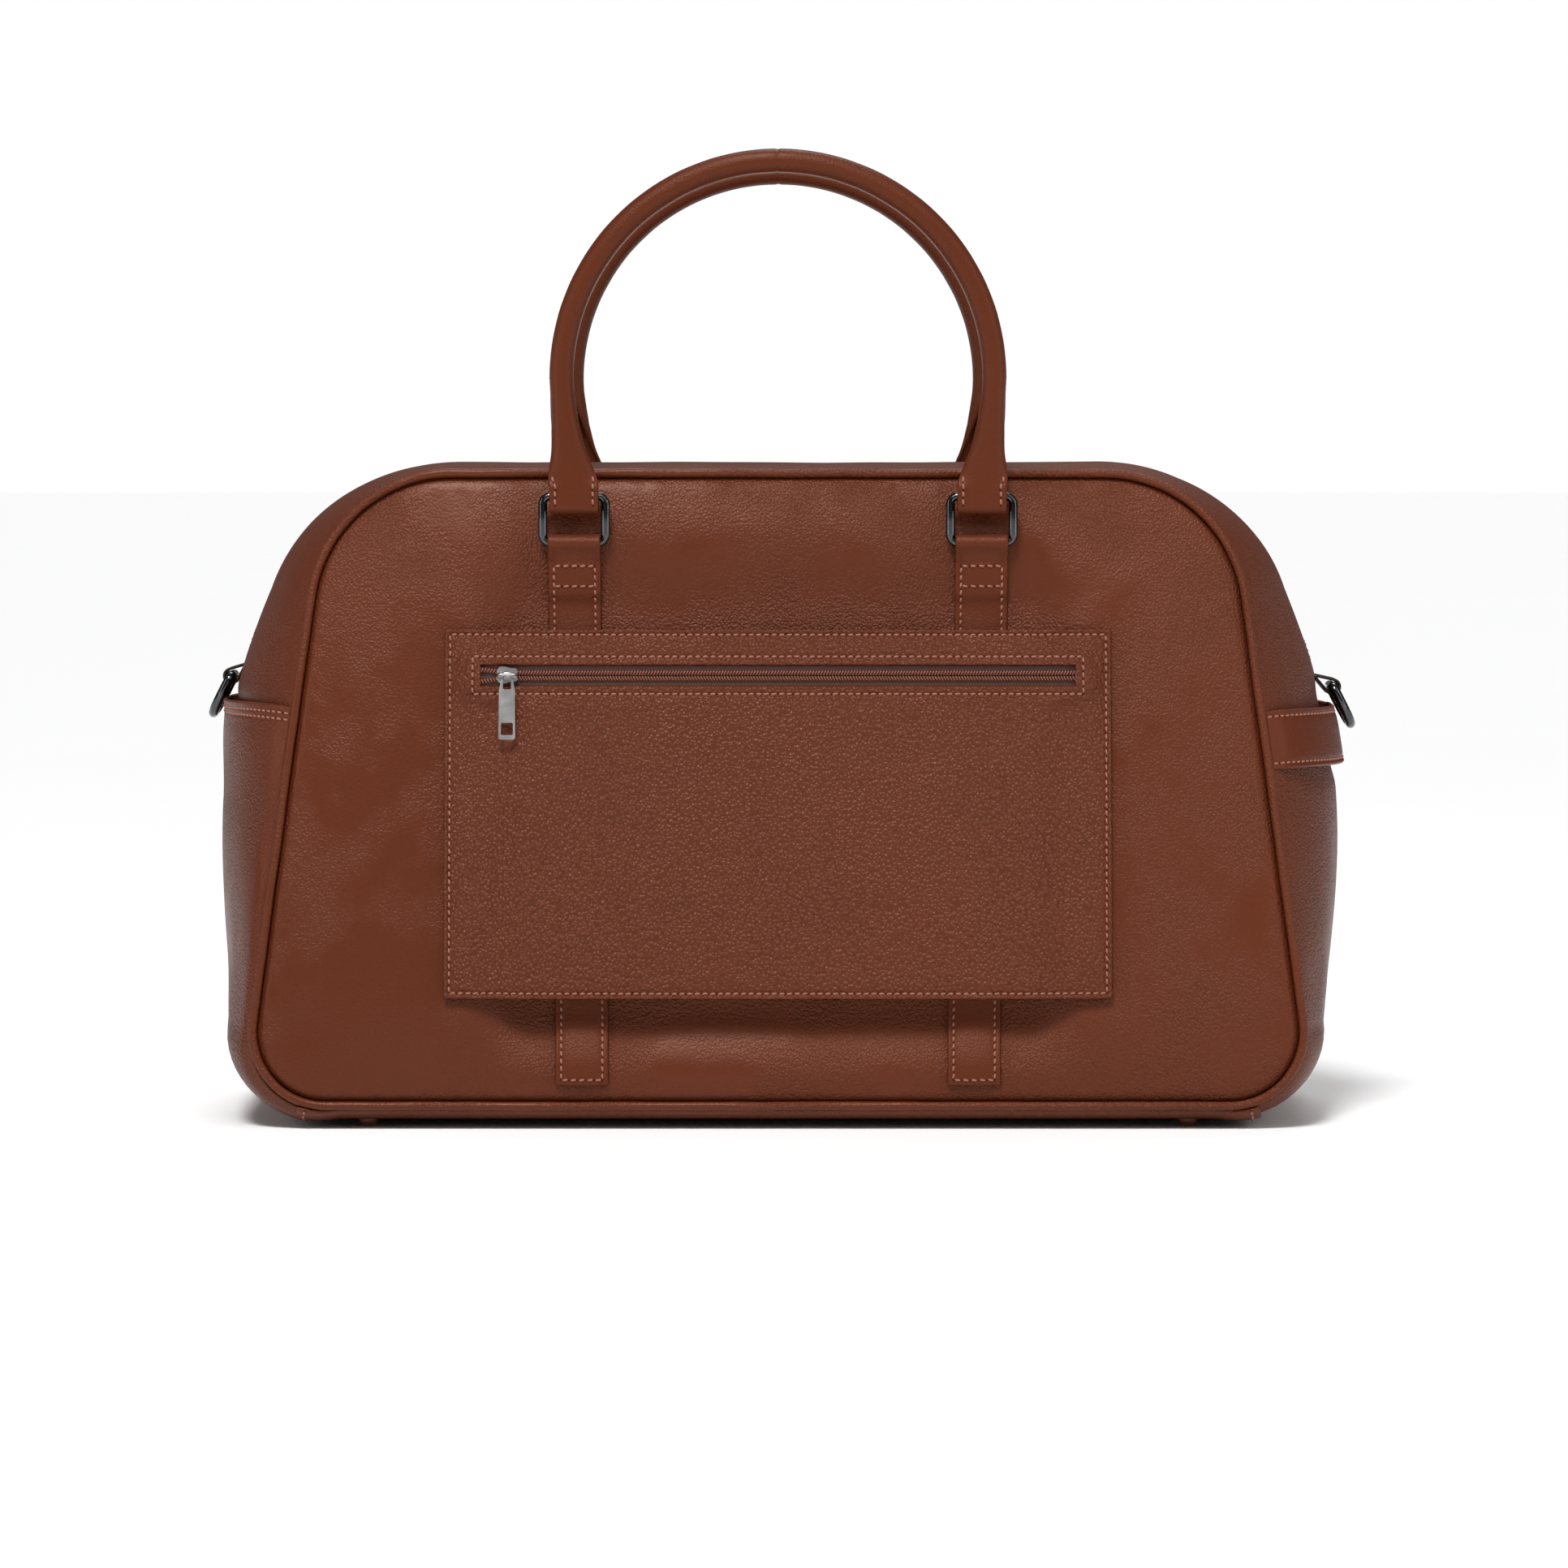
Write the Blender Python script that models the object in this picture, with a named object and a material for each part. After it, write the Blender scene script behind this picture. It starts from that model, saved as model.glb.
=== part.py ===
"""A soft leather weekender bag with two rolled handles and a zipped trolley sleeve on its back.

Metres, +Z up. The bag stands on its feet at z = 0, with its length along X and its back at -Y.
Two panels, back and front, are joined by a gusset that runs round their outline: a base, two side
gussets and two top strips with the main zip between them.
"""
import math

import bmesh
import bpy
from mathutils import Vector

for old in list(bpy.data.objects):
    bpy.data.objects.remove(old, do_unlink=True)

# Outline of the seam where a panel meets the gusset: a trapezium with rounded corners
PANEL_TOP = 0.324
PANEL_BOTTOM = 0.0125
TOP_HALF = 0.2238
BOTTOM_HALF = 0.2647
TOP_RADIUS = 0.070
BOTTOM_RADIUS = 0.036

# Depth of the bag, measured from its mid-plane to a panel's seam
BASE_HALF_DEPTH = 0.118
TOP_HALF_DEPTH = 0.076
TAPER_POWER = 1.5

# How far the soft leather swells out of its seams
PANEL_DOME = 0.007
BASE_SAG = 0.009
TOP_SWELL = 0.006
SIDE_SWELL = 0.0318

LEATHER = 0.0022
PIPING_RADIUS = 0.0022
SEAM_GAP = 0.0028
JOINT_GAP = 0.0004

# Main zip, in a groove between the top strips
ZIP_REACH = 0.285
GROOVE_DEPTH = 0.0085
GROOVE_WIDTH = 0.013
TAB_GROOVE = 0.0036
STRIP_EDGE = 0.009
STRIP_REACH = 0.3268
BASE_REACH = 0.232

# Hollow in the back panel, behind the trolley sleeve
SLEEVE_HALF = 0.165
SLEEVE_BOTTOM = 0.0658
SLEEVE_TOP = 0.2472
SLEEVE_STAND = 0.0062
HOLLOW = 0.010

# Zipped pocket in the sleeve
SLEEVE_LEATHER = 0.0016
POCKET_GAP = 0.003
POCKET_BACKING = 0.0008
POCKET_ZIP_Z = 0.2248
POCKET_ZIP_HALF = 0.1476
POCKET_SLOT = 0.0112
POCKET_SLIDER_X = -0.134

# Straps, rings and handles
STRAP_WIDTH = 0.025
STRAP_THICKNESS = 0.0018
STRAP_TOP_X = 0.1013
STRAP_BOTTOM_X = 0.097
RING_WIRE = 0.0021
RING_WIDTH = 0.0312
RING_HEIGHT = 0.0232
RING_CORNER = 0.0038
RING_BAR_Z = 0.290
RING_STAND = 0.0051
LOOP_RADIUS = 0.0034
HANDLE_LEATHER = 0.0016
HANDLE_ROLL = 0.00535
HANDLE_SPAN = 0.1075
HANDLE_ARC_Z = 0.372
HANDLE_CORE = 0.0037

# Side pocket on the left end and keeper band on the right end
MOUTH_Z = 0.2078
POCKET_DENT = 0.0042
MOUTH_STAND = 0.0050
BAND_TOP_Z = 0.2055
BAND_HEIGHT = 0.028
BAND_STAND = 0.0050
BAND_DENT = 0.002
END_LEATHER = 0.0018

# D-rings, hung from tabs over the ends of the main zip
D_WIRE = 0.0025
D_HALF = 0.014
D_LEG = 0.0075
D_CORNER = 0.003
D_LEAN = math.radians(27)
D_BARS = {"left": Vector((-0.2782, 0, 0.221)), "right": Vector((0.2822, 0, 0.2155))}

FOOT_X = 0.204
FOOT_Y = 0.098
FOOT_HEIGHT = 0.0035

LEAN = math.atan2(BOTTOM_HALF - TOP_HALF, PANEL_TOP - PANEL_BOTTOM)
TOP_TURN = math.pi / 2 - LEAN
TOP_TANGENT = TOP_RADIUS * math.tan(TOP_TURN / 2)
BOTTOM_TANGENT = BOTTOM_RADIUS * math.tan((math.pi - TOP_TURN) / 2)
TOP_RUN = TOP_HALF - TOP_TANGENT
TOP_ARC = TOP_RADIUS * TOP_TURN
SIDE_RUN = (PANEL_TOP - PANEL_BOTTOM) / math.cos(LEAN) - TOP_TANGENT - BOTTOM_TANGENT
BOTTOM_ARC = BOTTOM_RADIUS * (math.pi - TOP_TURN)
BOTTOM_RUN = BOTTOM_HALF - BOTTOM_TANGENT
SIDE_START = TOP_RUN + TOP_ARC
HALF_LENGTH = SIDE_START + SIDE_RUN + BOTTOM_ARC + BOTTOM_RUN
SIDE_TOP_Z = PANEL_TOP - TOP_RADIUS + TOP_RADIUS * math.sin(LEAN)


# ---------------------------------------------------------------- materials and objects

def finish(name, colour, roughness, metallic=0.0):
    """A Principled material with one colour, roughness and metallic value."""
    material = bpy.data.materials.new(name)
    material.use_nodes = True
    shader = material.node_tree.nodes["Principled BSDF"]
    shader.inputs["Base Color"].default_value = (*colour, 1)
    shader.inputs["Roughness"].default_value = roughness
    shader.inputs["Metallic"].default_value = metallic
    material.diffuse_color = (*colour, 1)
    return material


FINISHES = {
    "leather": finish("leather", (0.165, 0.047, 0.026), 0.5),
    "lining": finish("lining", (0.09, 0.07, 0.055), 0.8),
    "board": finish("board", (0.05, 0.045, 0.04), 0.7),
    "zip_tape": finish("zip_tape", (0.12, 0.04, 0.025), 0.85),
    "zip_coil": finish("zip_coil", (0.10, 0.035, 0.022), 0.5),
    "gunmetal": finish("gunmetal", (0.02, 0.02, 0.022), 0.25, 1.0),
    "puller_metal": finish("puller_metal", (0.45, 0.45, 0.46), 0.3, 1.0),
    "foot": finish("foot", (0.12, 0.035, 0.02), 0.5),
    "handle_core": finish("handle_core", (0.55, 0.48, 0.36), 0.9),
}


def empty(name, parent=None, location=(0, 0, 0), tilt=0.0):
    """A frame for other pieces to hang on."""
    frame = bpy.data.objects.new(name, None)
    bpy.context.scene.collection.objects.link(frame)
    frame.parent = parent
    frame.location = location
    frame.rotation_euler = (tilt, 0, 0)
    return frame


BAG = empty("bag")


def add(name, data, look, parent=None, location=(0, 0, 0)):
    """Put a mesh or curve in the scene as one named piece."""
    piece = bpy.data.objects.new(name, data)
    bpy.context.scene.collection.objects.link(piece)
    data.materials.append(FINISHES[look])
    piece.parent = parent or BAG
    piece.location = location
    return piece


def smooth(mesh, angle=35):
    """Shade a mesh smooth, apart from its edges sharper than the angle in degrees."""
    mesh.shade_smooth()
    mesh.set_sharp_from_angle(angle=math.radians(angle))


def sheet(name, rows, thickness, look, holes=(), middle=None, **place):
    """A sheet on a grid of points, without the cells named in holes.

    With a middle point, the grid is the sheet's face away from it. Without one, it is halfway
    through the sheet's thickness, which then stays even round tight folds.
    """
    across = len(rows[0])
    faces = []
    for i in range(len(rows) - 1):
        for j in range(across - 1):
            if (i, j) not in holes:
                first = i * across + j
                faces.append((first, first + 1, first + across + 1, first + across))
    mesh = bpy.data.meshes.new(name)
    mesh.from_pydata([tuple(point) for row in rows for point in row], [], faces)
    if middle is not None:
        facing = sum((face.center - middle).dot(face.normal) * face.area for face in mesh.polygons)
        if facing < 0:
            mesh.flip_normals()
    smooth(mesh)
    piece = add(name, mesh, look, **place)
    skin = piece.modifiers.new("Thickness", "SOLIDIFY")
    skin.thickness = thickness
    skin.offset = 0.0 if middle is None else -1.0
    skin.use_even_offset = middle is None
    return piece


def tube(name, points, radius, look, closed=False, sides=6, **place):
    """A round bar along a line of points."""
    curve = bpy.data.curves.new(name, "CURVE")
    curve.dimensions = "3D"
    curve.bevel_depth = radius
    curve.bevel_resolution = sides // 2 - 2
    curve.use_fill_caps = not closed
    line = curve.splines.new("POLY")
    line.points.add(len(points) - 1)
    for point, place_at in zip(line.points, points):
        point.co = (*place_at, 1)
    line.use_cyclic_u = closed
    line.use_smooth = True
    return add(name, curve, look, **place)


def plate(name, outlines, thickness, look, **place):
    """A flat plate in the local X-Y plane: an outline, with any further outlines as its holes."""
    mesh = bpy.data.meshes.new(name)
    form = bmesh.new()
    for outline in outlines:
        corners = [form.verts.new((x, y, 0)) for x, y in outline]
        for corner, following in zip(corners, corners[1:] + corners[:1]):
            form.edges.new((corner, following))
    bmesh.ops.triangle_fill(form, edges=form.edges[:], use_beauty=True, normal=(0, 0, 1))
    grown = bmesh.ops.extrude_face_region(form, geom=form.faces[:])
    lifted = [item for item in grown["geom"] if isinstance(item, bmesh.types.BMVert)]
    bmesh.ops.translate(form, verts=lifted, vec=(0, 0, thickness))
    bmesh.ops.recalc_face_normals(form, faces=form.faces[:])
    form.to_mesh(mesh)
    form.free()
    smooth(mesh)
    return add(name, mesh, look, **place)


def arc(centre, radius, start, end, steps):
    """Points on a circle in a plane, with angles in degrees."""
    angles = [math.radians(start + (end - start) * k / steps) for k in range(steps + 1)]
    return [(centre[0] + radius * math.cos(a), centre[1] + radius * math.sin(a)) for a in angles]


def ease(value, start, end):
    """0 before start, 1 after end, and a smooth step between them."""
    t = min(max((value - start) / (end - start), 0.0), 1.0)
    return t * t * (3 - 2 * t)


def spread(start, end, steps):
    """Evenly spaced values, both ends included."""
    return [start + (end - start) * k / steps for k in range(steps + 1)]


# ---------------------------------------------------------------- form of the bag

def half_seam(distance):
    """Point and outward normal (x, z, nx, nz) on the right half of the seam.

    The distance runs along the seam from the middle of the top to the middle of the bottom.
    """
    if distance <= TOP_RUN:
        return distance, PANEL_TOP, 0.0, 1.0
    distance -= TOP_RUN
    if distance <= TOP_ARC:
        nx = math.sin(distance / TOP_RADIUS)
        nz = math.cos(distance / TOP_RADIUS)
        return TOP_RUN + TOP_RADIUS * nx, PANEL_TOP - TOP_RADIUS + TOP_RADIUS * nz, nx, nz
    distance -= TOP_ARC
    if distance <= SIDE_RUN:
        x = TOP_RUN + TOP_RADIUS * math.cos(LEAN) + distance * math.sin(LEAN)
        return x, SIDE_TOP_Z - distance * math.cos(LEAN), math.cos(LEAN), math.sin(LEAN)
    distance -= SIDE_RUN
    if distance <= BOTTOM_ARC:
        nx = math.sin(TOP_TURN + distance / BOTTOM_RADIUS)
        nz = math.cos(TOP_TURN + distance / BOTTOM_RADIUS)
        return (BOTTOM_RUN + BOTTOM_RADIUS * nx,
                PANEL_BOTTOM + BOTTOM_RADIUS + BOTTOM_RADIUS * nz, nx, nz)
    distance -= BOTTOM_ARC
    return BOTTOM_RUN - distance, PANEL_BOTTOM, 0.0, -1.0


def seam(distance):
    """The same round the whole seam: left of the top's middle, the distance is negative."""
    x, z, nx, nz = half_seam(min(abs(distance), HALF_LENGTH))
    return (x, z, nx, nz) if distance >= 0 else (-x, z, -nx, nz)


def side_distance(z):
    """Distance along the seam to a height on the straight side."""
    return SIDE_START + (SIDE_TOP_Z - z) / math.cos(LEAN)


def height(z):
    """0 at the bottom seam, 1 at the top seam."""
    return min(max((z - PANEL_BOTTOM) / (PANEL_TOP - PANEL_BOTTOM), 0.0), 1.0)


def half_depth(z):
    """From the mid-plane to a panel's seam."""
    return BASE_HALF_DEPTH - (BASE_HALF_DEPTH - TOP_HALF_DEPTH) * height(z) ** TAPER_POWER


def half_width(z):
    """From the middle of a panel to its side seam."""
    top_centre = PANEL_TOP - TOP_RADIUS
    bottom_centre = PANEL_BOTTOM + BOTTOM_RADIUS
    if z > SIDE_TOP_Z:
        return TOP_RUN + math.sqrt(max(TOP_RADIUS ** 2 - (z - top_centre) ** 2, 0.0))
    if z < bottom_centre + BOTTOM_RADIUS * math.sin(LEAN):
        return BOTTOM_RUN + math.sqrt(max(BOTTOM_RADIUS ** 2 - (z - bottom_centre) ** 2, 0.0))
    return TOP_HALF + (PANEL_TOP - z) * math.tan(LEAN)


def hollow(x, z):
    """How much of the back panel's hollow there is at a point, from 0 to 1."""
    sideways = 1 - ease(abs(x), 0.120, 0.158)
    upright = ease(z, 0.026, 0.060) * (1 - ease(z, 0.253, 0.302))
    return sideways * upright


def panel_out(x, z, hollowed=0.0):
    """From the mid-plane to a panel's outer face."""
    dome = (1 - min(abs(x) / half_width(z), 1.0) ** 4) * (1 - (2 * height(z) - 1) ** 4)
    return half_depth(z) + PANEL_DOME * dome - hollowed * hollow(x, z)


def swell(z):
    """How far the gusset stands out of the seam's outline, at the mid-plane."""
    h = height(z)
    return BASE_SAG + (TOP_SWELL - BASE_SAG) * h + SIDE_SWELL * math.sin(math.pi * h ** 1.1)


def groove(distance):
    """Depth of the zip's groove, which fades out below the D-ring tabs."""
    along = abs(distance)
    deep = GROOVE_DEPTH + (TAB_GROOVE - GROOVE_DEPTH) * ease(along, ZIP_REACH, ZIP_REACH + 0.013)
    return deep * (1 - ease(along, STRIP_REACH - 0.012, STRIP_REACH + 0.01))


def dent(distance, z):
    """How far the gusset gives way behind the side pocket and behind the keeper band."""
    if distance < 0:
        return POCKET_DENT * ease(z, 0.030, 0.080) * (1 - ease(z, 0.196, 0.214))
    return BAND_DENT * ease(z, 0.160, 0.176) * (1 - ease(z, 0.205, 0.221))


def gusset_point(distance, across):
    """Point on the gusset's outer face; across runs from -1 at the back seam to 1."""
    x, z, nx, nz = seam(distance)
    depth = half_depth(z)
    y = across * (depth - SEAM_GAP)
    downward = max(-nz, 0.0)
    roundness = (1 - (abs(y) / depth) ** (2.2 + 11.8 * downward)) ** (0.8 - 0.3 * downward)
    out = (swell(z) - dent(distance, z)) * roundness
    out -= groove(distance) * math.exp(-((y / GROOVE_WIDTH) ** 2))
    return Vector((x + nx * out, y, z + nz * out))


def off_gusset(distance, across, lift):
    """Point at an even distance from the gusset's outer face: outside it, or inside if negative."""
    step = 0.002
    along = gusset_point(distance + step, across) - gusset_point(distance - step, across)
    sideways = gusset_point(distance, across + step) - gusset_point(distance, across - step)
    return gusset_point(distance, across) + along.cross(sideways).normalized() * lift


def rounded(steps):
    """Values from -1 to 1, closer together near both ends."""
    return [math.sin(math.pi / 2 * value) for value in spread(-1, 1, steps)]


MIDDLE = Vector((0, 0, 0.16))
CORNER_ROWS = [TOP_RUN + TOP_ARC * k / 7 for k in range(7)]
SIDE_ROWS = spread(SIDE_START, SIDE_START + SIDE_RUN, 8)
FOOT_ROWS = [SIDE_START + SIDE_RUN + BOTTOM_ARC * k / 5 for k in range(1, 6)]
OUTLINE_ROWS = CORNER_ROWS + SIDE_ROWS + FOOT_ROWS
GUSSET_ROWS = spread(STRIP_REACH + 2 * JOINT_GAP, HALF_LENGTH - BASE_REACH, 10)
BASE_ROWS = [HALF_LENGTH - BASE_REACH + 2 * JOINT_GAP, HALF_LENGTH - BOTTOM_RUN * 0.97,
             HALF_LENGTH - BOTTOM_RUN * 0.85, HALF_LENGTH - BOTTOM_RUN * 0.5, HALF_LENGTH]
ACROSS = rounded(8)
PANEL_LEVELS = [half_seam(d)[1] - half_seam(d)[3] * SEAM_GAP for d in reversed(OUTLINE_ROWS)]


# ---------------------------------------------------------------- body pieces

def panel(name, side, thickness, look, inset=SEAM_GAP, sunk=0.0):
    """A back or front panel, or its lining, as a grid from the top seam to the bottom seam."""
    hollowed = HOLLOW if side < 0 else 0.0
    inner = [0.055, 0.120, 0.132, 0.145, 0.157] if side < 0 else [0.08]
    rows = []
    for distance in OUTLINE_ROWS:
        edge, z, nx, nz = half_seam(distance)
        edge -= nx * inset
        z -= nz * inset
        room = edge - inner[-1]
        half = inner + [inner[-1] + room * f for f in (0.45, 0.8, 1)]
        columns = [-x for x in reversed(half)] + [0] + half
        rows.append([Vector((x, side * (panel_out(x, z, hollowed) - sunk), z)) for x in columns])
    return sheet(name, rows, thickness, look, middle=MIDDLE)


def body_shell():
    """The outer leather: panels, base, side gussets, top strips and piping."""
    panel("back_panel", -1, LEATHER, "leather")
    panel("front_panel", 1, LEATHER, "leather")

    for label, side in (("left", -1), ("right", 1)):
        rows = [[gusset_point(side * distance, w) for w in ACROSS] for distance in GUSSET_ROWS]
        sheet(f"side_gusset_{label}", rows, LEATHER, "leather", middle=MIDDLE)

    along = BASE_ROWS + [-distance for distance in reversed(BASE_ROWS[:-1])]
    rows = [[gusset_point(distance, w) for w in ACROSS] for distance in along]
    sheet("base_panel", rows, LEATHER, "leather", middle=MIDDLE)

    for label, side in (("back", -1), ("front", 1)):
        rows = [strip_row(distance, side) for distance in strip_distances()]
        sheet(f"top_strip_{label}", rows, LEATHER, "leather", middle=MIDDLE)

    flat = spread(-TOP_RUN, TOP_RUN, 4)[1:-1]
    bottom = spread(-BOTTOM_RUN, BOTTOM_RUN, 4)[1:-1]
    for label, side in (("back", -1), ("front", 1)):
        right = [half_seam(distance)[:2] for distance in OUTLINE_ROWS]
        left = [(-x, z) for x, z in reversed(right)]
        loop = [(x, PANEL_TOP) for x in flat] + right
        loop += [(-x, PANEL_BOTTOM) for x in bottom] + left
        points = [Vector((x, side * half_depth(z), z)) for x, z in loop]
        tube(f"piping_{label}", points, PIPING_RADIUS, "leather", closed=True)


def strip_distances():
    """Stations along a top strip: few on the straight top, closer round the shoulders."""
    half = [TOP_RUN * 0.5] + [TOP_RUN + TOP_ARC * k / 7 for k in range(8)]
    half += [ZIP_REACH, ZIP_REACH + 0.013, ZIP_REACH + 0.026, STRIP_REACH]
    return [-distance for distance in reversed(half)] + [0] + half


def strip_row(distance, side):
    """One line across a top strip, from its seam to its edge beside the zip."""
    reach = half_depth(seam(distance)[1]) - SEAM_GAP
    closing = ease(abs(distance), ZIP_REACH, ZIP_REACH + 0.013)
    edge = STRIP_EDGE + (JOINT_GAP - STRIP_EDGE) * closing
    across = [1, 0.93, 0.75, 0.45]
    stations = [reach * f for f in across] + [0.019 * (1 - closing) + 0.014 * closing]
    stations += [0.0135 * (1 - closing) + 0.006 * closing, edge]
    return [gusset_point(distance, side * y / reach) for y in stations]


def lining():
    """The lining and the board that stiffens the base."""
    for label, side in (("back", -1), ("front", 1)):
        panel(f"lining_{label}", side, 0.0008, "lining", inset=0.010, sunk=LEATHER + 0.0014)
    half = GUSSET_ROWS + BASE_ROWS[1:]
    along = half + [-distance for distance in reversed(half[:-1])]
    rows = []
    for distance in along:
        downward = max(-seam(distance)[3], 0.0)
        lift = -(LEATHER + 0.0015 + 0.0031 * downward)
        rows.append([off_gusset(distance, 0.96 * w, lift) for w in ACROSS])
    sheet("lining_sides", rows, 0.0008, "lining", middle=MIDDLE)

    half_x, half_y, corner = 0.213, 0.098, 0.02
    outline = (arc((half_x - corner, half_y - corner), corner, 0, 90, 3)
               + arc((corner - half_x, half_y - corner), corner, 90, 180, 3)
               + arc((corner - half_x, corner - half_y), corner, 180, 270, 3)
               + arc((half_x - corner, corner - half_y), corner, 270, 360, 3))
    bottom = PANEL_BOTTOM - BASE_SAG + LEATHER + 0.0009
    plate("base_board", [outline], 0.0022, "board", location=(0, 0, bottom))


def feet():
    """Four small studs under the base."""
    for label, side in (("back", -1), ("front", 1)):
        for end, sign in (("left", -1), ("right", 1)):
            mesh = bpy.data.meshes.new("foot")
            form = bmesh.new()
            bmesh.ops.create_cone(form, cap_ends=True, segments=8, radius1=0.0032,
                                  radius2=0.0048, depth=FOOT_HEIGHT)
            form.to_mesh(mesh)
            form.free()
            add(f"foot_{label}_{end}", mesh, "foot",
                location=(sign * FOOT_X, side * FOOT_Y, FOOT_HEIGHT / 2))


# ---------------------------------------------------------------- straps, rings and handles

def tangent_angle(point, centre, radius, turn):
    """Angle, in degrees, of the point where a line from a point touches a circle."""
    away = Vector(point) - Vector(centre)
    side = math.acos(radius / away.length)
    return math.degrees(math.atan2(away.y, away.x) + turn * side)


def strap(name, side, sign):
    """A strap sewn up a panel, whose top end is folded round a ring and sewn to itself."""
    hollowed = HOLLOW if side < 0 else 0.0
    under = STRAP_THICKNESS / 2 + 0.0005
    over = under + STRAP_THICKNESS + 0.0003
    fold_z = RING_BAR_Z - 0.009
    centre = (RING_STAND, RING_BAR_Z)
    front, back = (over + 0.0002, fold_z), (under, fold_z)
    start = tangent_angle(front, centre, LOOP_RADIUS, 1)
    end = tangent_angle(back, centre, LOOP_RADIUS, -1) + 360
    path = [(under, z) for z in PANEL_LEVELS if 0.018 < z < 0.258] + [(over, 0.267), front]
    path += arc(centre, LOOP_RADIUS, start, end, 7) + [back, (under, 0.269)]

    rows = []
    for stand, z in path:
        low = min(z, RING_BAR_Z - 0.005)
        x = STRAP_BOTTOM_X + (STRAP_TOP_X - STRAP_BOTTOM_X) * ease(z, 0.02, 0.30)
        rows.append([Vector((sign * (x + f * STRAP_WIDTH),
                             side * (panel_out(x, low, hollowed) + stand), z))
                     for f in (-0.5, 0.5)])
    sheet(name, rows, STRAP_THICKNESS, "leather")


def ring_bar_y(side):
    """Where the rings' lower bars stand, from the mid-plane."""
    hollowed = HOLLOW if side < 0 else 0.0
    return side * (panel_out(STRAP_TOP_X, RING_BAR_Z - 0.005, hollowed) + RING_STAND)


def ring(name, side, sign):
    """A rounded rectangular wire ring, with its origin on its lower bar."""
    half = RING_WIDTH / 2 - RING_CORNER
    low, high = RING_CORNER, RING_HEIGHT - RING_CORNER
    outline = (arc((half, high), RING_CORNER, 90, 0, 3) + arc((half, low), RING_CORNER, 0, -90, 3)
               + arc((-half, low), RING_CORNER, -90, -180, 3)
               + arc((-half, high), RING_CORNER, 180, 90, 3))
    points = [Vector((x, 0, z)) for x, z in outline]
    return tube(name, points, RING_WIRE, "gunmetal", closed=True,
                location=(sign * STRAP_TOP_X, ring_bar_y(side), RING_BAR_Z))


def handle_rows(side):
    """The handle's leather strip as lines across it, from the left tab's end to the right's.

    Heights are from the rings' upper bars. In the tabs the strip is flat, 25 mm wide, and
    folded round the ring. Above them it curls, until it is rolled up round the core.
    """
    bar_z = RING_BAR_Z + RING_HEIGHT
    arc_z = HANDLE_ARC_Z - bar_z
    loop, drop, flat_top, rolled_z = 0.00335, 0.0047, 0.0082, 0.0372

    def leg_x(z):
        rise = min(max((z - flat_top) / (arc_z - flat_top), 0.0), 1.0)
        return STRAP_TOP_X + (HANDLE_SPAN - STRAP_TOP_X) * (1 - (1 - rise) ** 1.4)

    ends = (loop - HANDLE_LEATHER - 0.0003, flat_top)
    leave = tangent_angle(ends, (0, 0), loop, 1)
    path = [ends] + arc((0, 0), loop, leave, 180, 1)
    path += arc((0, -drop), loop, 180, 360, 5) + [(loop, 0.0), (loop, flat_top)]
    rows = [(Vector((-leg_x(z), side * out, z)), Vector((1, 0, 0)), 0.0) for out, z in path]
    for roll in spread(0, 1, 5)[1:]:
        z = flat_top + (rolled_z - flat_top) * roll
        rows.append((Vector((-leg_x(z), side * loop, z)), Vector((1, 0, 0)), roll))
    for angle in spread(180, 90, 7):
        turn = math.radians(angle)
        outward = Vector((math.cos(turn), 0, math.sin(turn)))
        middle = outward * HANDLE_SPAN + Vector((0, side * loop, arc_z))
        rows.append((middle, -outward, 1.0))

    half = []
    for middle, across, roll in rows:
        width = STRAP_WIDTH + (HANDLE_ROLL * math.radians(352) - STRAP_WIDTH) * roll
        curl = math.radians(352) * roll
        line = []
        for f in spread(-0.5, 0.5, 8):
            if curl:
                radius = width / curl
                along = radius * math.sin(f * curl)
                inward = radius * (1 - math.cos(f * curl))
            else:
                along, inward = f * width, 0.0
            line.append(middle + across * along - Vector((0, side * inward, 0)))
        half.append(line)
    right = [[Vector((-p.x, p.y, p.z)) for p in line] for line in reversed(half[:-1])]
    return half + right


def handle(label, side, parent):
    """A handle rolled from one leather strip round a soft core, with its tabs in two rings."""
    bar = Vector((STRAP_TOP_X, 0, RING_HEIGHT))
    rows = handle_rows(side)
    sheet(f"handle_{label}", rows, HANDLE_LEATHER, "leather",
          parent=parent, location=bar)

    arc_z = HANDLE_ARC_Z - RING_BAR_Z - RING_HEIGHT
    y = side * (0.00335 - HANDLE_ROLL)
    path = [(-HANDLE_SPAN * 0.986, 0.041)] + arc((0, arc_z), HANDLE_SPAN, 180, 0, 14)
    path.append((HANDLE_SPAN * 0.986, 0.041))
    tube(f"handle_core_{label}", [Vector((x, y, z)) for x, z in path], HANDLE_CORE,
         "handle_core", parent=parent, location=bar)


def carrying():
    """Straps, rings and handles on both faces."""
    for label, side in (("back", -1), ("front", 1)):
        rings = {}
        for end, sign in (("left", -1), ("right", 1)):
            strap(f"strap_{label}_{end}", side, sign)
            rings[end] = ring(f"ring_{label}_{end}", side, sign)
        handle(label, side, rings["left"])


# ---------------------------------------------------------------- zips

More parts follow.
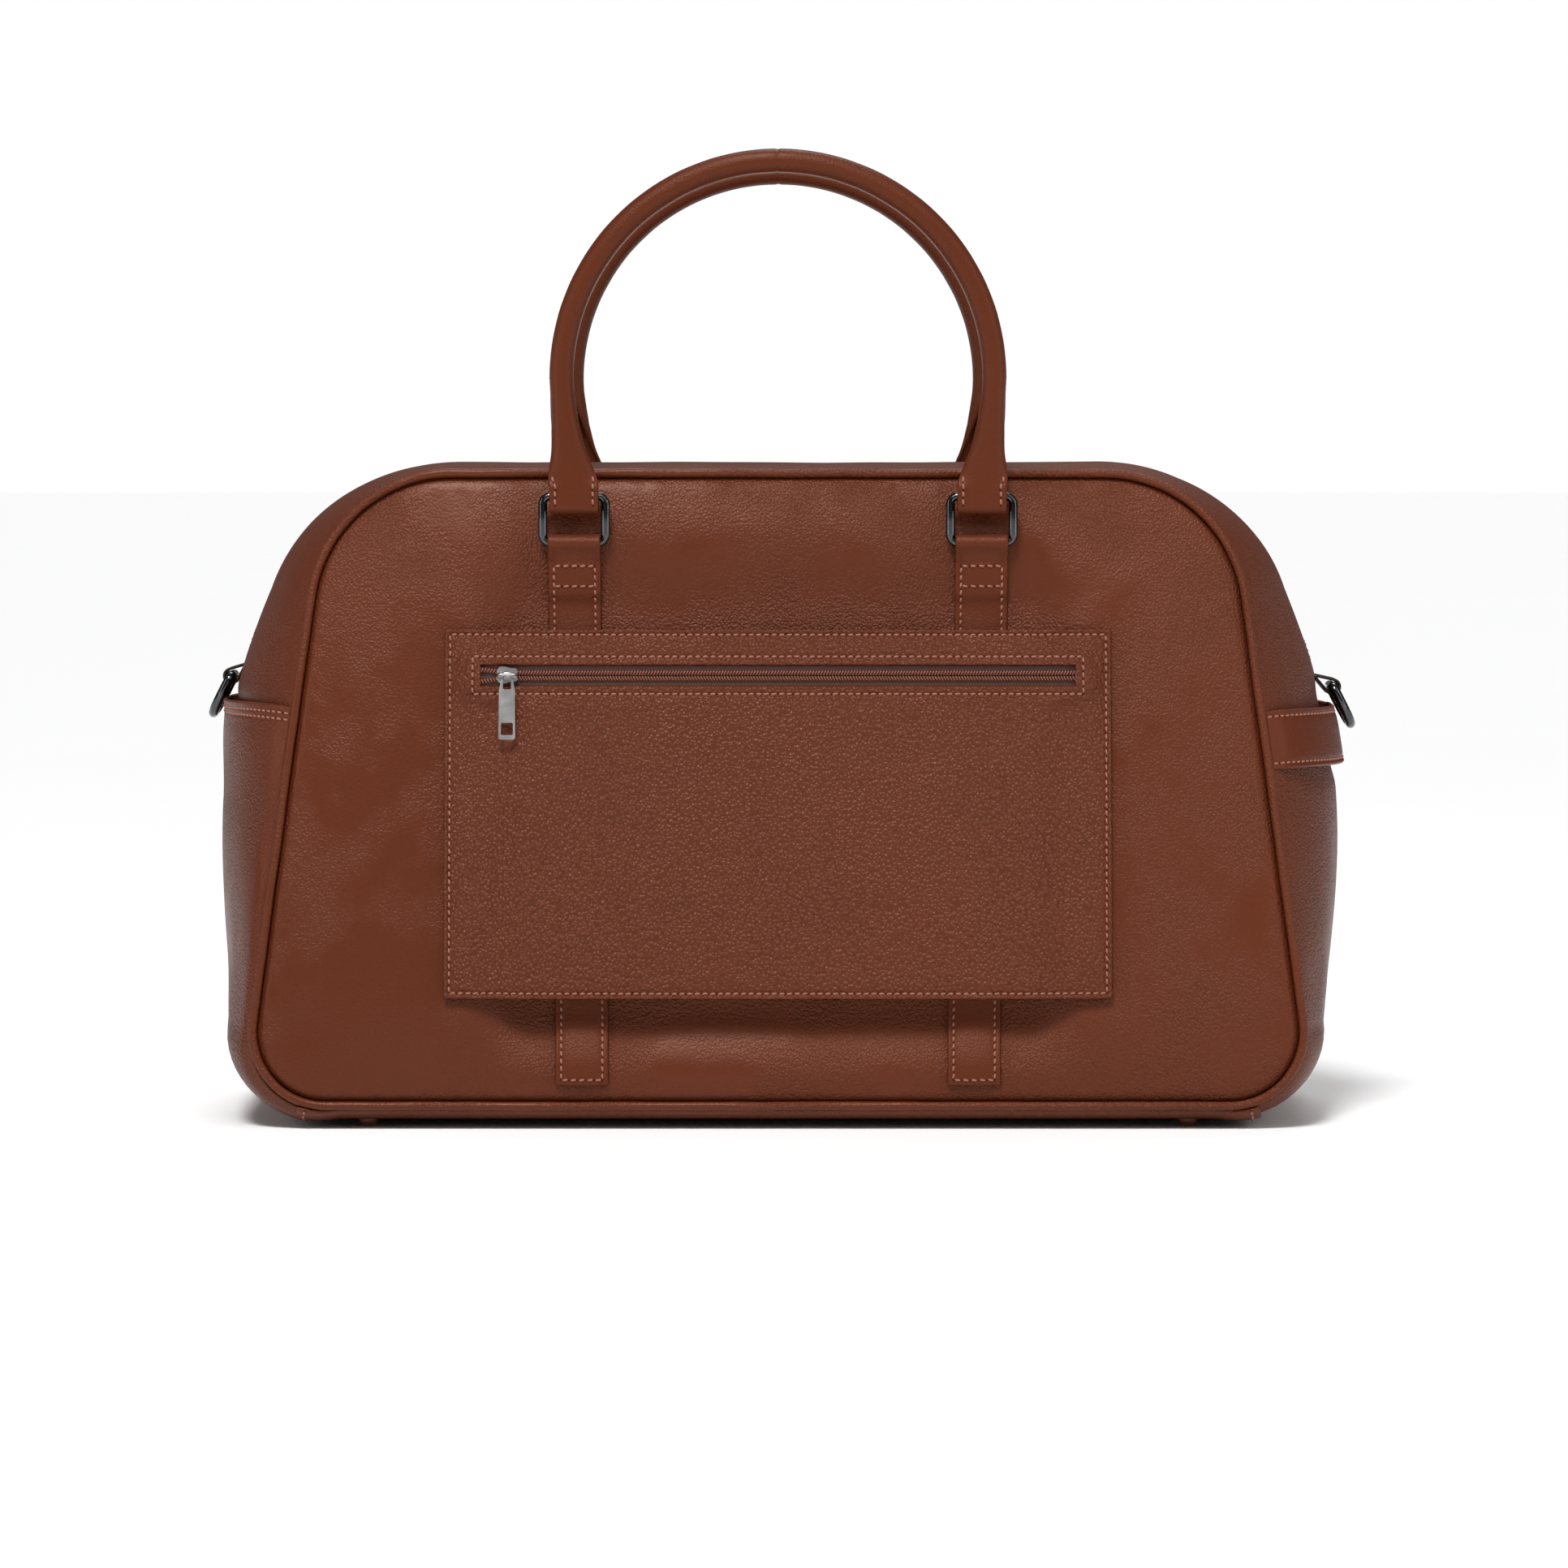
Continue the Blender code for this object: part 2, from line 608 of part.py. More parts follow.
def zip_slider(name, chain, reach, parent, location, look="gunmetal"):
    """A slider in a zip's frame: X along the zip, Z outward, with z = 0 on top of the tape.

    Two plates, above the coils and under the tape, are joined by a thin blade between the two
    rows of coils. A headed post on the upper plate carries the puller.
    """
    coil_top, plate_height, blade = chain[1], 0.0013, 0.0005
    half = reach * 0.42
    over = coil_top + 0.0003
    under = -0.0006 - 0.0004
    profile = [(-half, under - plate_height), (half, under - plate_height), (half, under),
               (blade / 2, under), (blade / 2, over), (half, over), (half, over + plate_height),
               (-half, over + plate_height), (-half, over), (-blade / 2, over),
               (-blade / 2, under), (-half, under)]
    form = bmesh.new()
    corners = [form.verts.new((-reach / 2, y, z)) for y, z in profile]
    face = form.faces.new(corners)
    grown = bmesh.ops.extrude_face_region(form, geom=[face])
    moved = [item for item in grown["geom"] if isinstance(item, bmesh.types.BMVert)]
    bmesh.ops.translate(form, verts=moved, vec=(reach, 0, 0))
    bmesh.ops.recalc_face_normals(form, faces=form.faces[:])
    mesh = bpy.data.meshes.new(name)
    form.to_mesh(mesh)
    form.free()
    slider = add(name, mesh, look, parent=parent, location=location)

    top = over + plate_height
    outline = [(0.0, top + 0.0034), (0.0024, top + 0.0034), (0.0024, top + 0.0024),
               (0.0012, top + 0.0024), (0.0012, top - 0.0006), (0.0, top - 0.0006)]
    form = bmesh.new()
    line = [form.verts.new((x, 0, z)) for x, z in outline]
    edges = [form.edges.new(pair) for pair in zip(line, line[1:])]
    bmesh.ops.spin(form, geom=line + edges, cent=(0, 0, 0), axis=(0, 0, 1),
                   angle=2 * math.pi, steps=10, use_duplicate=False)
    bmesh.ops.remove_doubles(form, verts=form.verts[:], dist=0.00001)
    bmesh.ops.recalc_face_normals(form, faces=form.faces[:])
    post_mesh = bpy.data.meshes.new(name + "_post")
    form.to_mesh(post_mesh)
    form.free()
    post = add(name + "_post", post_mesh, look, parent=slider)
    post.hide_render = True
    post.display_type = "WIRE"
    joined = slider.modifiers.new("Post", "BOOLEAN")
    joined.operation = "UNION"
    joined.solver = "EXACT"
    joined.object = post
    return slider, top + 0.0005


def puller(name, length, width, look, **place):
    """A flat puller with a round eye, its origin, and a square window near its end."""
    half, eye, window = width / 2, 0.0018, width * 0.36
    outline = arc((0, 0), half, 180, 0, 6) + [(half, 0.004 - length), (half - 0.0012, half - length),
                                              (0.0012 - half, half - length), (-half, 0.004 - length)]
    hole = arc((0, 0), eye, 0, 315, 7)
    low = half - length + 0.0028
    square = [(-window, low), (window, low), (window, low + 2 * window), (-window, low + 2 * window)]
    return plate(name, [outline, hole, square], 0.0014, look, **place)


def coil_and_tape(prefix, upper, lower, stations, chain, tape_width, point):
    """Both halves of a zip: tapes and rows of coils, along stations, in the frame of point."""
    gap, coil_height, coil_width = chain
    coils = [min(max(s, stations[0] + 0.0024), stations[-1] - 0.0024) for s in stations]
    for label, side in ((upper, 1), (lower, -1)):
        rows = [[point(s, side * y, 0.0) for y in (0.0003, tape_width)] for s in stations]
        sheet(f"{prefix}_tape_{label}", rows, 0.0006, "zip_tape", middle=point.middle,
              parent=point.parent)
        rows = [[point(s, side * y, 0.0003 + coil_height) for y in (gap, gap + coil_width)]
                for s in coils]
        sheet(f"{prefix}_coils_{label}", rows, coil_height, "zip_coil", middle=point.middle,
              parent=point.parent)


class MainZipPoint:
    """Points of the main zip: a station along the seam, a distance across, a height."""

    parent = None
    middle = MIDDLE

    def __call__(self, station, across, rise):
        x, z, nx, nz = seam(station)
        out = swell(z) - GROOVE_DEPTH - 0.0001 + rise
        return Vector((x + nx * out, across, z + nz * out))


class PocketZipPoint:
    """Points of the pocket's zip, in its own frame."""

    middle = Vector((0, 0, -1))

    def __init__(self, parent):
        self.parent = parent

    def __call__(self, station, across, rise):
        return Vector((station, across, rise))


def main_zip():
    """The main zip: tapes and coils over the top, and two sliders that meet in the middle."""
    chain = (0.00055, 0.0022, 0.0034)
    shoulder = [TOP_RUN + TOP_ARC * k / 7 for k in range(8)]
    half = [TOP_RUN / 2] + shoulder + [ZIP_REACH - 0.001]
    stations = [-station for station in reversed(half)] + [0] + half
    coil_and_tape("main_zip", "front", "back", stations, chain, 0.0125, MainZipPoint())
    level = PANEL_TOP + TOP_SWELL - GROOVE_DEPTH - 0.0001
    for label, sign in (("left", -1), ("right", 1)):
        slider, rise = zip_slider(f"main_slider_{label}", (chain[0], chain[1] + 0.0003), 0.0135,
                                  BAG, (sign * 0.0085, 0, level))
        flat = puller(f"main_puller_{label}", 0.031, 0.008, "gunmetal", parent=slider,
                      location=(0, 0, rise))
        flat.rotation_euler = (0, 0, sign * math.pi / 2)


# ---------------------------------------------------------------- trolley sleeve and its pocket

def sleeve_out(x, z):
    """From the mid-plane to the sleeve's outer face: flat along X, but for its sewn sides."""
    sewn = ease(abs(x), 0.152, SLEEVE_HALF)
    return panel_out(0, z) + SLEEVE_STAND - 0.0024 * sewn


def trolley_sleeve():
    """A panel sewn down both sides, open at top and bottom, with a zipped pocket in it."""
    wide = [0.03, 0.09, POCKET_ZIP_HALF, 0.157, SLEEVE_HALF]
    columns = [-x for x in reversed(wide)] + wide
    low, high = POCKET_ZIP_Z - POCKET_SLOT / 2, POCKET_ZIP_Z + POCKET_SLOT / 2
    levels = spread(SLEEVE_BOTTOM, low, 5) + [high, SLEEVE_TOP]
    rows = [[Vector((x, -sleeve_out(x, z), z)) for x in columns] for z in levels]
    first = columns.index(-POCKET_ZIP_HALF)
    slot = {(5, j) for j in range(first, len(columns) - 1 - first)}
    sheet("trolley_sleeve", rows, SLEEVE_LEATHER, "leather", holes=slot, middle=MIDDLE)

    sunk = SLEEVE_LEATHER + POCKET_GAP
    columns = [-0.163, -0.152, 0, 0.152, 0.163]
    levels = spread(SLEEVE_BOTTOM + 0.002, SLEEVE_TOP - 0.002, 6)
    rows = [[Vector((x, sunk - panel_out(0, z) - SLEEVE_STAND, z)) for x in columns]
            for z in levels]
    sheet("pocket_backing", rows, POCKET_BACKING, "lining", middle=MIDDLE)

    step = 0.004
    drop = (sleeve_out(0, POCKET_ZIP_Z - step) - sleeve_out(0, POCKET_ZIP_Z + step)) / (2 * step)
    slope = math.atan(drop)
    sunk = SLEEVE_LEATHER + 0.0003
    place = Vector((0, -sleeve_out(0, POCKET_ZIP_Z), POCKET_ZIP_Z))
    place += Vector((0, math.cos(slope), -math.sin(slope))) * sunk
    frame = empty("pocket_zip", BAG, place, math.pi / 2 - slope)
    chain = (0.00055, 0.0018, 0.0024)
    stations = [-POCKET_ZIP_HALF - 0.002, 0, POCKET_ZIP_HALF + 0.002]
    point = PocketZipPoint(frame)
    coil_and_tape("pocket_zip", "upper", "lower", stations, chain, 0.009, point)
    slider, rise = zip_slider("pocket_slider", (chain[0], chain[1] + 0.0003), 0.0105, frame,
                              (POCKET_SLIDER_X, 0, 0))
    puller("pocket_puller", 0.0365, 0.0086, "puller_metal", parent=slider,
           location=(0, 0, rise))


# ---------------------------------------------------------------- ends of the bag

def side_pocket():
    """The open slip pocket over the left side gusset."""
    rows = []
    for distance in [side_distance(MOUTH_Z), STRIP_REACH] + GUSSET_ROWS[1:]:
        z = seam(distance)[1]
        room = MOUTH_STAND * ease(z, 0.155, MOUTH_Z)
        line = []
        for w in ACROSS:
            drop = 0.0023 * (1 - w * w) * ease(z, 0.150, MOUTH_Z)
            stand = 0.0009 + room * (1 - w ** 4)
            line.append(off_gusset(-distance - drop, 0.955 * w, END_LEATHER + stand))
        rows.append(line)
    sheet("side_pocket", rows, END_LEATHER, "leather", middle=MIDDLE)


def keeper_band():
    """The flat band across the right side gusset, open behind, from seam to seam."""
    rows = []
    for distance in spread(side_distance(BAND_TOP_Z), side_distance(BAND_TOP_Z - BAND_HEIGHT), 3):
        line = []
        for w in ACROSS:
            stand = 0.0006 + BAND_STAND * (1 - w ** 4)
            droop = 0.006 * (1 - w * w)
            line.append(off_gusset(distance + droop, 0.955 * w, END_LEATHER + stand))
        rows.append(line)
    sheet("keeper_band", rows, END_LEATHER, "leather", middle=MIDDLE)


def d_ring_tab(label, sign):
    """The leather tab folded round a D-ring's bar and sewn over the end of the main zip."""
    bar = D_BARS[label]
    thickness = 0.0014
    distance = side_distance(bar.z)
    x, z, nx, nz = seam(distance)
    level = swell(z)
    outward = Vector((nx, 0, nz))
    down = Vector((nz, 0, -nx))
    offset = Vector((abs(bar.x) - x, 0, bar.z - z))
    centre = (offset.dot(outward) - level, offset.dot(down))
    radius = D_WIRE + 0.0004 + thickness / 2
    front, back = (-0.0009, centre[1] - 0.0125), (-0.0027, centre[1] - 0.0125)
    start = tangent_angle(front, centre, radius, -1)
    end = tangent_angle(back, centre, radius, 1)
    path = [(-0.0009, centre[1] - 0.027), front]
    path += arc(centre, radius, start, end - 360 if end > start else end, 8)
    path += [back, (-0.0027, centre[1] - 0.027)]
    rows = []
    for out, along in path:
        point = Vector((x, 0, z)) + outward * (level + out) + down * along
        rows.append([Vector((sign * point.x, y, point.z)) for y in (-0.0104, 0.0104)])
    sheet(f"d_ring_tab_{label}", rows, thickness, "leather")


def d_ring(label, sign):
    """A D-ring hanging from its straight bar, which is its origin, and leaning outward."""
    outline = (arc((D_HALF - D_CORNER, D_CORNER), D_CORNER, -90, 0, 3)
               + arc((0, D_LEG), D_HALF, 0, 180, 10)
               + arc((D_CORNER - D_HALF, D_CORNER), D_CORNER, 180, 270, 3))
    hang = Vector((sign * math.sin(D_LEAN), 0, -math.cos(D_LEAN)))
    points = [Vector((0, y, 0)) + hang * down for y, down in outline]
    tube(f"d_ring_{label}", points, D_WIRE, "gunmetal", closed=True, location=D_BARS[label])


def ends():
    """Everything on the two ends."""
    side_pocket()
    keeper_band()
    for label, sign in (("left", -1), ("right", 1)):
        d_ring_tab(label, sign)
        d_ring(label, sign)


body_shell()
lining()
feet()
carrying()
main_zip()
trolley_sleeve()
ends()
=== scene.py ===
"""The looks of a leather weekender bag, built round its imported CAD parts.

Metres, +Z up. The bag's length runs along X and its back, with the trolley sleeve, faces -Y.
The form functions repeat those of the CAD source, and the leather here follows them more finely.
"""

import math

import bmesh
import bpy
import numpy as np
from mathutils import Matrix, Vector, noise


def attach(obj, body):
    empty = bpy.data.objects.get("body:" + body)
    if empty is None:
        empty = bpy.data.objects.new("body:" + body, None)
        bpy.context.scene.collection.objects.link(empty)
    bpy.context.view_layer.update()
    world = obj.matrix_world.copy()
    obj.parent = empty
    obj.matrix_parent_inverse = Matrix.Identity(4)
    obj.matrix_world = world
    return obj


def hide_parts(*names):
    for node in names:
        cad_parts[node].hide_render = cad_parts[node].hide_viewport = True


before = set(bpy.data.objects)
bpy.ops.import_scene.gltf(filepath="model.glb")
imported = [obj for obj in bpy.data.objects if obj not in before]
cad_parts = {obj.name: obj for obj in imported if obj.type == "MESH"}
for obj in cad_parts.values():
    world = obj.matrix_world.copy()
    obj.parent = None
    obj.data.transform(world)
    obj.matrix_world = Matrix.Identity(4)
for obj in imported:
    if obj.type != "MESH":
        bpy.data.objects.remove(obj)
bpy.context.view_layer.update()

# ---------------------------------------------------------------- sizes, as in the CAD source
PANEL_TOP, PANEL_BOTTOM = 0.324, 0.0125
TOP_HALF, BOTTOM_HALF = 0.2238, 0.2647
TOP_RADIUS, BOTTOM_RADIUS = 0.070, 0.036
BASE_HALF_DEPTH, TOP_HALF_DEPTH, TAPER_POWER = 0.118, 0.076, 1.5
PANEL_DOME, BASE_SAG, TOP_SWELL, SIDE_SWELL = 0.007, 0.009, 0.006, 0.0318
LEATHER, PIPING_RADIUS, SEAM_GAP, JOINT_GAP = 0.0022, 0.0022, 0.0028, 0.0004
ZIP_REACH, GROOVE_DEPTH, GROOVE_WIDTH, TAB_GROOVE = 0.285, 0.0085, 0.013, 0.0036
STRIP_EDGE, STRIP_REACH, BASE_REACH = 0.009, 0.3268, 0.232
SLEEVE_HALF, SLEEVE_BOTTOM, SLEEVE_TOP, SLEEVE_STAND = 0.165, 0.0658, 0.2472, 0.0062
HOLLOW, SLEEVE_LEATHER, POCKET_GAP = 0.010, 0.0016, 0.003
POCKET_ZIP_Z, POCKET_ZIP_HALF, POCKET_SLOT, POCKET_SLIDER_X = 0.2248, 0.1476, 0.0112, -0.134
STRAP_WIDTH, STRAP_THICKNESS, STRAP_TOP_X, STRAP_BOTTOM_X = 0.025, 0.0018, 0.1013, 0.097
RING_WIRE, RING_WIDTH, RING_HEIGHT, RING_CORNER = 0.0023, 0.0312, 0.0232, 0.0038
RING_BAR_Z, RING_STAND, LOOP_RADIUS = 0.290, 0.0051, 0.0034
LOOP_LOW_Z = RING_BAR_Z - 0.005
HANDLE_LEATHER, HANDLE_ROLL, HANDLE_SPAN, HANDLE_ARC_Z = 0.0016, 0.00535, 0.1075, 0.372
HANDLE_CURL = math.radians(352)
MOUTH_Z, POCKET_DENT, MOUTH_STAND = 0.2078, 0.0042, 0.0050
BAND_TOP_Z, BAND_HEIGHT, BAND_STAND, BAND_DENT, END_LEATHER = 0.2055, 0.028, 0.0050, 0.002, 0.0018
D_WIRE, D_HALF, D_LEG, D_CORNER, D_LEAN = 0.0025, 0.014, 0.0075, 0.003, math.radians(27)
D_BARS = {"left": Vector((-0.2782, 0, 0.221)), "right": Vector((0.2822, 0, 0.2155))}
FOOT_X, FOOT_Y, FOOT_HEIGHT = 0.204, 0.098, 0.0035

LEAN = math.atan2(BOTTOM_HALF - TOP_HALF, PANEL_TOP - PANEL_BOTTOM)
TOP_TURN = math.pi / 2 - LEAN
TOP_TANGENT = TOP_RADIUS * math.tan(TOP_TURN / 2)
BOTTOM_TANGENT = BOTTOM_RADIUS * math.tan((math.pi - TOP_TURN) / 2)
TOP_RUN = TOP_HALF - TOP_TANGENT
TOP_ARC = TOP_RADIUS * TOP_TURN
SIDE_RUN = (PANEL_TOP - PANEL_BOTTOM) / math.cos(LEAN) - TOP_TANGENT - BOTTOM_TANGENT
BOTTOM_ARC = BOTTOM_RADIUS * (math.pi - TOP_TURN)
BOTTOM_RUN = BOTTOM_HALF - BOTTOM_TANGENT
SIDE_START = TOP_RUN + TOP_ARC
HALF_LENGTH = SIDE_START + SIDE_RUN + BOTTOM_ARC + BOTTOM_RUN
SIDE_TOP_Z = PANEL_TOP - TOP_RADIUS + TOP_RADIUS * math.sin(LEAN)
MIDDLE = Vector((0, 0, 0.16))

# The leather's linear colour, and the stitches: pitch, thread radius, distance from an edge
LEATHER_COLOUR = (0.0835, 0.0166, 0.0050)
PITCH, THREAD, INSET = 0.0038, 0.00058, 0.0024
# The handles' tabs are narrower here than in the CAD source
TAB_WIDTH = 0.0232
# Stations near a stitched edge, and how far a sheet's rounded rim stands out, in thicknesses
EDGE_INSETS = (0.0004, 0.0012, 0.0019, 0.0024, 0.0029, 0.0037, 0.0052)
RIM = 0.38

PANELS = (("back", -1), ("front", 1))
ENDS = (("left", -1), ("right", 1))


# ---------------------------------------------------------------- materials

def linear(red, green, blue):
    """An sRGB colour, 0 to 255, as linear values."""
    parts = [value / 255 for value in (red, green, blue)]
    return tuple(v / 12.92 if v <= 0.04045 else ((v + 0.055) / 1.055) ** 2.4 for v in parts)


class Look:
    """A Principled material under construction, with short calls for its nodes."""

    def __init__(self, name, **values):
        self.material = bpy.data.materials.new(name)
        self.material.use_nodes = True
        self.tree = self.material.node_tree
        self.shader = self.tree.nodes["Principled BSDF"]
        self.place = self.node("ShaderNodeTexCoord").outputs["Object"]
        for key, value in values.items():
            self.shader.inputs[key.replace("_", " ")].default_value = value

    def node(self, kind, **settings):
        made = self.tree.nodes.new(kind)
        for key, value in settings.items():
            setattr(made, key, value)
        return made

    def link(self, source, target):
        self.tree.links.new(source, target)

    def feed(self, made, **values):
        """Give a node's inputs numbers, colours or other nodes' outputs."""
        for key, value in values.items():
            socket = made.inputs[key.replace("_", " ")]
            if isinstance(value, bpy.types.NodeSocket):
                self.link(value, socket)
            else:
                socket.default_value = value
        return made

    def noise(self, scale, detail=2.0, rough=0.5, at=None):
        made = self.node("ShaderNodeTexNoise")
        self.feed(made, Vector=at or self.place, Scale=scale, Detail=detail, Roughness=rough)
        return made.outputs["Fac"]

    def cells(self, scale, at=None, feature="F1", smoothness=0.4):
        made = self.node("ShaderNodeTexVoronoi", feature=feature)
        self.feed(made, Vector=at or self.place, Scale=scale)
        if feature == "SMOOTH_F1":
            made.inputs["Smoothness"].default_value = smoothness
        return made.outputs["Distance"]

    def spread(self, value, low, high, to_low=0.0, to_high=1.0):
        made = self.node("ShaderNodeMapRange")
        self.feed(made, Value=value, From_Min=low, From_Max=high, To_Min=to_low, To_Max=to_high)
        return made.outputs["Result"]

    def sum(self, kind, first, second):
        made = self.node("ShaderNodeMath", operation=kind)
        for socket, value in zip(made.inputs, (first, second)):
            if isinstance(value, bpy.types.NodeSocket):
                self.link(value, socket)
            else:
                socket.default_value = value
        return made.outputs[0]

    def mix(self, factor, first, second):
        made = self.node("ShaderNodeMix", data_type="RGBA")
        for socket, value in zip((made.inputs[0], made.inputs[6], made.inputs[7]),
                                 (factor, first, second)):
            if isinstance(value, bpy.types.NodeSocket):
                self.link(value, socket)
            else:
                socket.default_value = value if socket == made.inputs[0] else (*value, 1)
        return made.outputs[2]

    def wobble(self, scale, amount):
        """Object coordinates, shaken by a noise."""
        shake = self.node("ShaderNodeTexNoise")
        self.feed(shake, Vector=self.place, Scale=scale, Detail=1.0)
        step = self.node("ShaderNodeVectorMath", operation="SCALE")
        self.feed(step, Vector=shake.outputs["Color"], Scale=amount)
        made = self.node("ShaderNodeVectorMath", operation="ADD")
        self.link(self.place, made.inputs[0])
        self.link(step.outputs[0], made.inputs[1])
        return made.outputs[0]

    def colour(self, value):
        self.link(value, self.shader.inputs["Base Color"])

    def rough(self, value):
        self.link(value, self.shader.inputs["Roughness"])

    def bump(self, height, strength, distance):
        made = self.node("ShaderNodeBump")
        self.feed(made, Height=height, Strength=strength, Distance=distance)
        self.link(made.outputs["Normal"], self.shader.inputs["Normal"])
        return self.material


def leather(name, grain, gloss, tone, cell, smooth, colour=LEATHER_COLOUR, shine=0.40):
    """Pebbled brown leather: rounded pebbles, painted shade in the creases, and patches where it
    is smoother.
    """
    look = Look(name, IOR=1.45, Specular_IOR_Level=shine, Specular_Tint=(1.0, 0.66, 0.54, 1.0))
    shaken = look.wobble(260.0, 0.0007)
    pebble = look.sum("POWER", look.spread(look.cells(cell, shaken), 0.0, 0.75), 2.0)
    fine = look.sum("POWER", look.spread(look.cells(cell * 1.9, shaken), 0.0, 0.75), 2.0)
    relief = look.sum("ADD", look.sum("MULTIPLY", pebble, -0.85), look.sum("MULTIPLY", fine, -0.2))
    patch = look.spread(look.noise(14.0, 3.0, 0.6), 0.38, 0.64, smooth, 1.0)
    height = look.sum("MULTIPLY", relief, patch)
    broad = look.noise(3.5, 2.0, 0.5)
    dark = tuple(v * tone * 0.94 for v in colour)
    light = tuple(v * tone * 1.06 for v in colour)
    base = look.mix(look.spread(broad, 0.35, 0.65), dark, light)
    # Painted shade: the colour darkens in the grain's creases, where shade falls
    base = look.mix(look.spread(height, -1.0, -0.35, 0.55 * grain, 0.0), base,
                    tuple(v * 0.5 for v in dark))
    edge = look.node("ShaderNodeNewGeometry").outputs["Pointiness"]
    look.colour(look.mix(look.spread(edge, 0.53, 0.62, 0.0, 0.30), base,
                         tuple(v * 1.5 for v in light)))
    look.rough(look.spread(look.sum("SUBTRACT", broad, height), 0.3, 1.2, gloss - 0.05,
                           gloss + 0.10))
    return look.bump(height, 0.9 * grain, 0.00130)


def thread_look():
    """Thread a little lighter than the leather."""
    look = Look("thread", Roughness=0.6)
    look.colour(look.mix(look.noise(900.0), (0.21, 0.076, 0.045), (0.31, 0.125, 0.080)))
    return look.bump(look.noise(2600.0), 0.4, 0.0002)


def weave(name, first, second):
    """Fine woven cloth, from two crossed sets of ridges."""
    look = Look(name, Roughness=0.85, Sheen_Weight=0.2)
    ridges = []
    for direction in ("X", "Z"):
        wave = look.node("ShaderNodeTexWave", bands_direction=direction)
        look.feed(wave, Vector=look.place, Scale=420.0, Distortion=0.6)
        ridges.append(wave.outputs["Fac"])
    height = look.sum("MULTIPLY", ridges[0], ridges[1])
    look.colour(look.mix(look.spread(height, 0.0, 0.6), first, second))
    return look.bump(height, 0.5, 0.0003)


def metal(name, colour, roughness, **values):
    """Plated metal, with faint smears in its polish."""
    look = Look(name, Metallic=1.0, **values)
    smear = look.noise(60.0, 4.0, 0.6)
    look.colour(look.mix(look.noise(25.0), colour, tuple(v * 1.25 for v in colour)))
    look.rough(look.spread(smear, 0.3, 0.7, roughness * 0.8, roughness * 1.35))
    return look.bump(look.noise(400.0, 3.0), 0.04, 0.0002)


def moulded(name, first, second, roughness, shine=0.5):
    """Plain material with a faint unevenness: board, coils, studs, and the painted shade of the
    needle holes.
    """
    look = Look(name, Specular_IOR_Level=shine)
    look.colour(look.mix(look.noise(300.0), first, second))
    look.rough(look.spread(look.noise(120.0), 0.3, 0.7, roughness - 0.06, roughness + 0.08))
    return look.bump(look.noise(700.0, 3.0), 0.1, 0.0002)


LOOKS = {
    "leather": leather("leather", 0.55, 0.40, 1.0, 740.0, 0.12),
    "leather_pebbled": leather("leather_pebbled", 0.72, 0.32, 1.04, 560.0, 0.7),
    "leather_smooth": leather("leather_smooth", 0.20, 0.40, 0.98, 900.0, 0.3, shine=0.30),
    "leather_black": leather("leather_black", 0.4, 0.34, 1.0, 900.0, 0.3, (0.012, 0.010, 0.009)),
    "thread": thread_look(),
    # Painted shade: the needle holes are dark dots that stand for the shadow in each hole
    "needle_hole_shade": moulded("needle_hole_shade", linear(48, 21, 13), linear(66, 31, 20), 0.8, 0.05),
    "lining": weave("lining", linear(70, 56, 44), linear(96, 80, 66)),
    "board": moulded("board", linear(60, 56, 52), linear(74, 68, 62), 0.7),
    "zip_tape": weave("zip_tape", linear(56, 25, 16), linear(82, 41, 29)),
    "zip_coil": moulded("zip_coil", linear(92, 45, 28), linear(120, 64, 43), 0.32),
    "gunmetal": metal("gunmetal", (0.062, 0.064, 0.068), 0.11),
    "puller_metal": metal("puller_metal", (0.50, 0.49, 0.48), 0.30),
    "foot": moulded("foot", linear(96, 48, 34), linear(116, 62, 44), 0.4),
    "handle_core": weave("handle_core", linear(168, 150, 120), linear(196, 180, 150)),
}
# Looks that share the leather's slot; the others have a slot of their own name
SLOTS = dict.fromkeys(("leather_pebbled", "leather_smooth", "leather_black", "thread",
                       "needle_hole_shade"), "leather")


# ---------------------------------------------------------------- form of the bag

def ease(value, start, end):
    """0 before start, 1 after end, and a smooth step between them."""
    t = min(max((value - start) / (end - start), 0.0), 1.0)
    return t * t * (3 - 2 * t)


def spread(start, end, steps):
    """Evenly spaced values, both ends included."""
    return [start + (end - start) * k / steps for k in range(steps + 1)]


def arc(centre, radius, start, end, steps):
    """Points on a circle in a plane, with angles in degrees."""
    angles = [math.radians(a) for a in spread(start, end, steps)]
    return [(centre[0] + radius * math.cos(a), centre[1] + radius * math.sin(a)) for a in angles]


def half_seam(distance):
    """Point and outward normal (x, z, nx, nz) on the right half of a panel's seam."""
    if distance <= TOP_RUN:
        return distance, PANEL_TOP, 0.0, 1.0
    distance -= TOP_RUN
    if distance <= TOP_ARC:
        nx = math.sin(distance / TOP_RADIUS)
        nz = math.cos(distance / TOP_RADIUS)
        return TOP_RUN + TOP_RADIUS * nx, PANEL_TOP - TOP_RADIUS + TOP_RADIUS * nz, nx, nz
    distance -= TOP_ARC
    if distance <= SIDE_RUN:
        x = TOP_RUN + TOP_RADIUS * math.cos(LEAN) + distance * math.sin(LEAN)
        return x, SIDE_TOP_Z - distance * math.cos(LEAN), math.cos(LEAN), math.sin(LEAN)
    distance -= SIDE_RUN
    if distance <= BOTTOM_ARC:
        nx = math.sin(TOP_TURN + distance / BOTTOM_RADIUS)
        nz = math.cos(TOP_TURN + distance / BOTTOM_RADIUS)
        return (BOTTOM_RUN + BOTTOM_RADIUS * nx,
                PANEL_BOTTOM + BOTTOM_RADIUS + BOTTOM_RADIUS * nz, nx, nz)
    distance -= BOTTOM_ARC
    return BOTTOM_RUN - distance, PANEL_BOTTOM, 0.0, -1.0


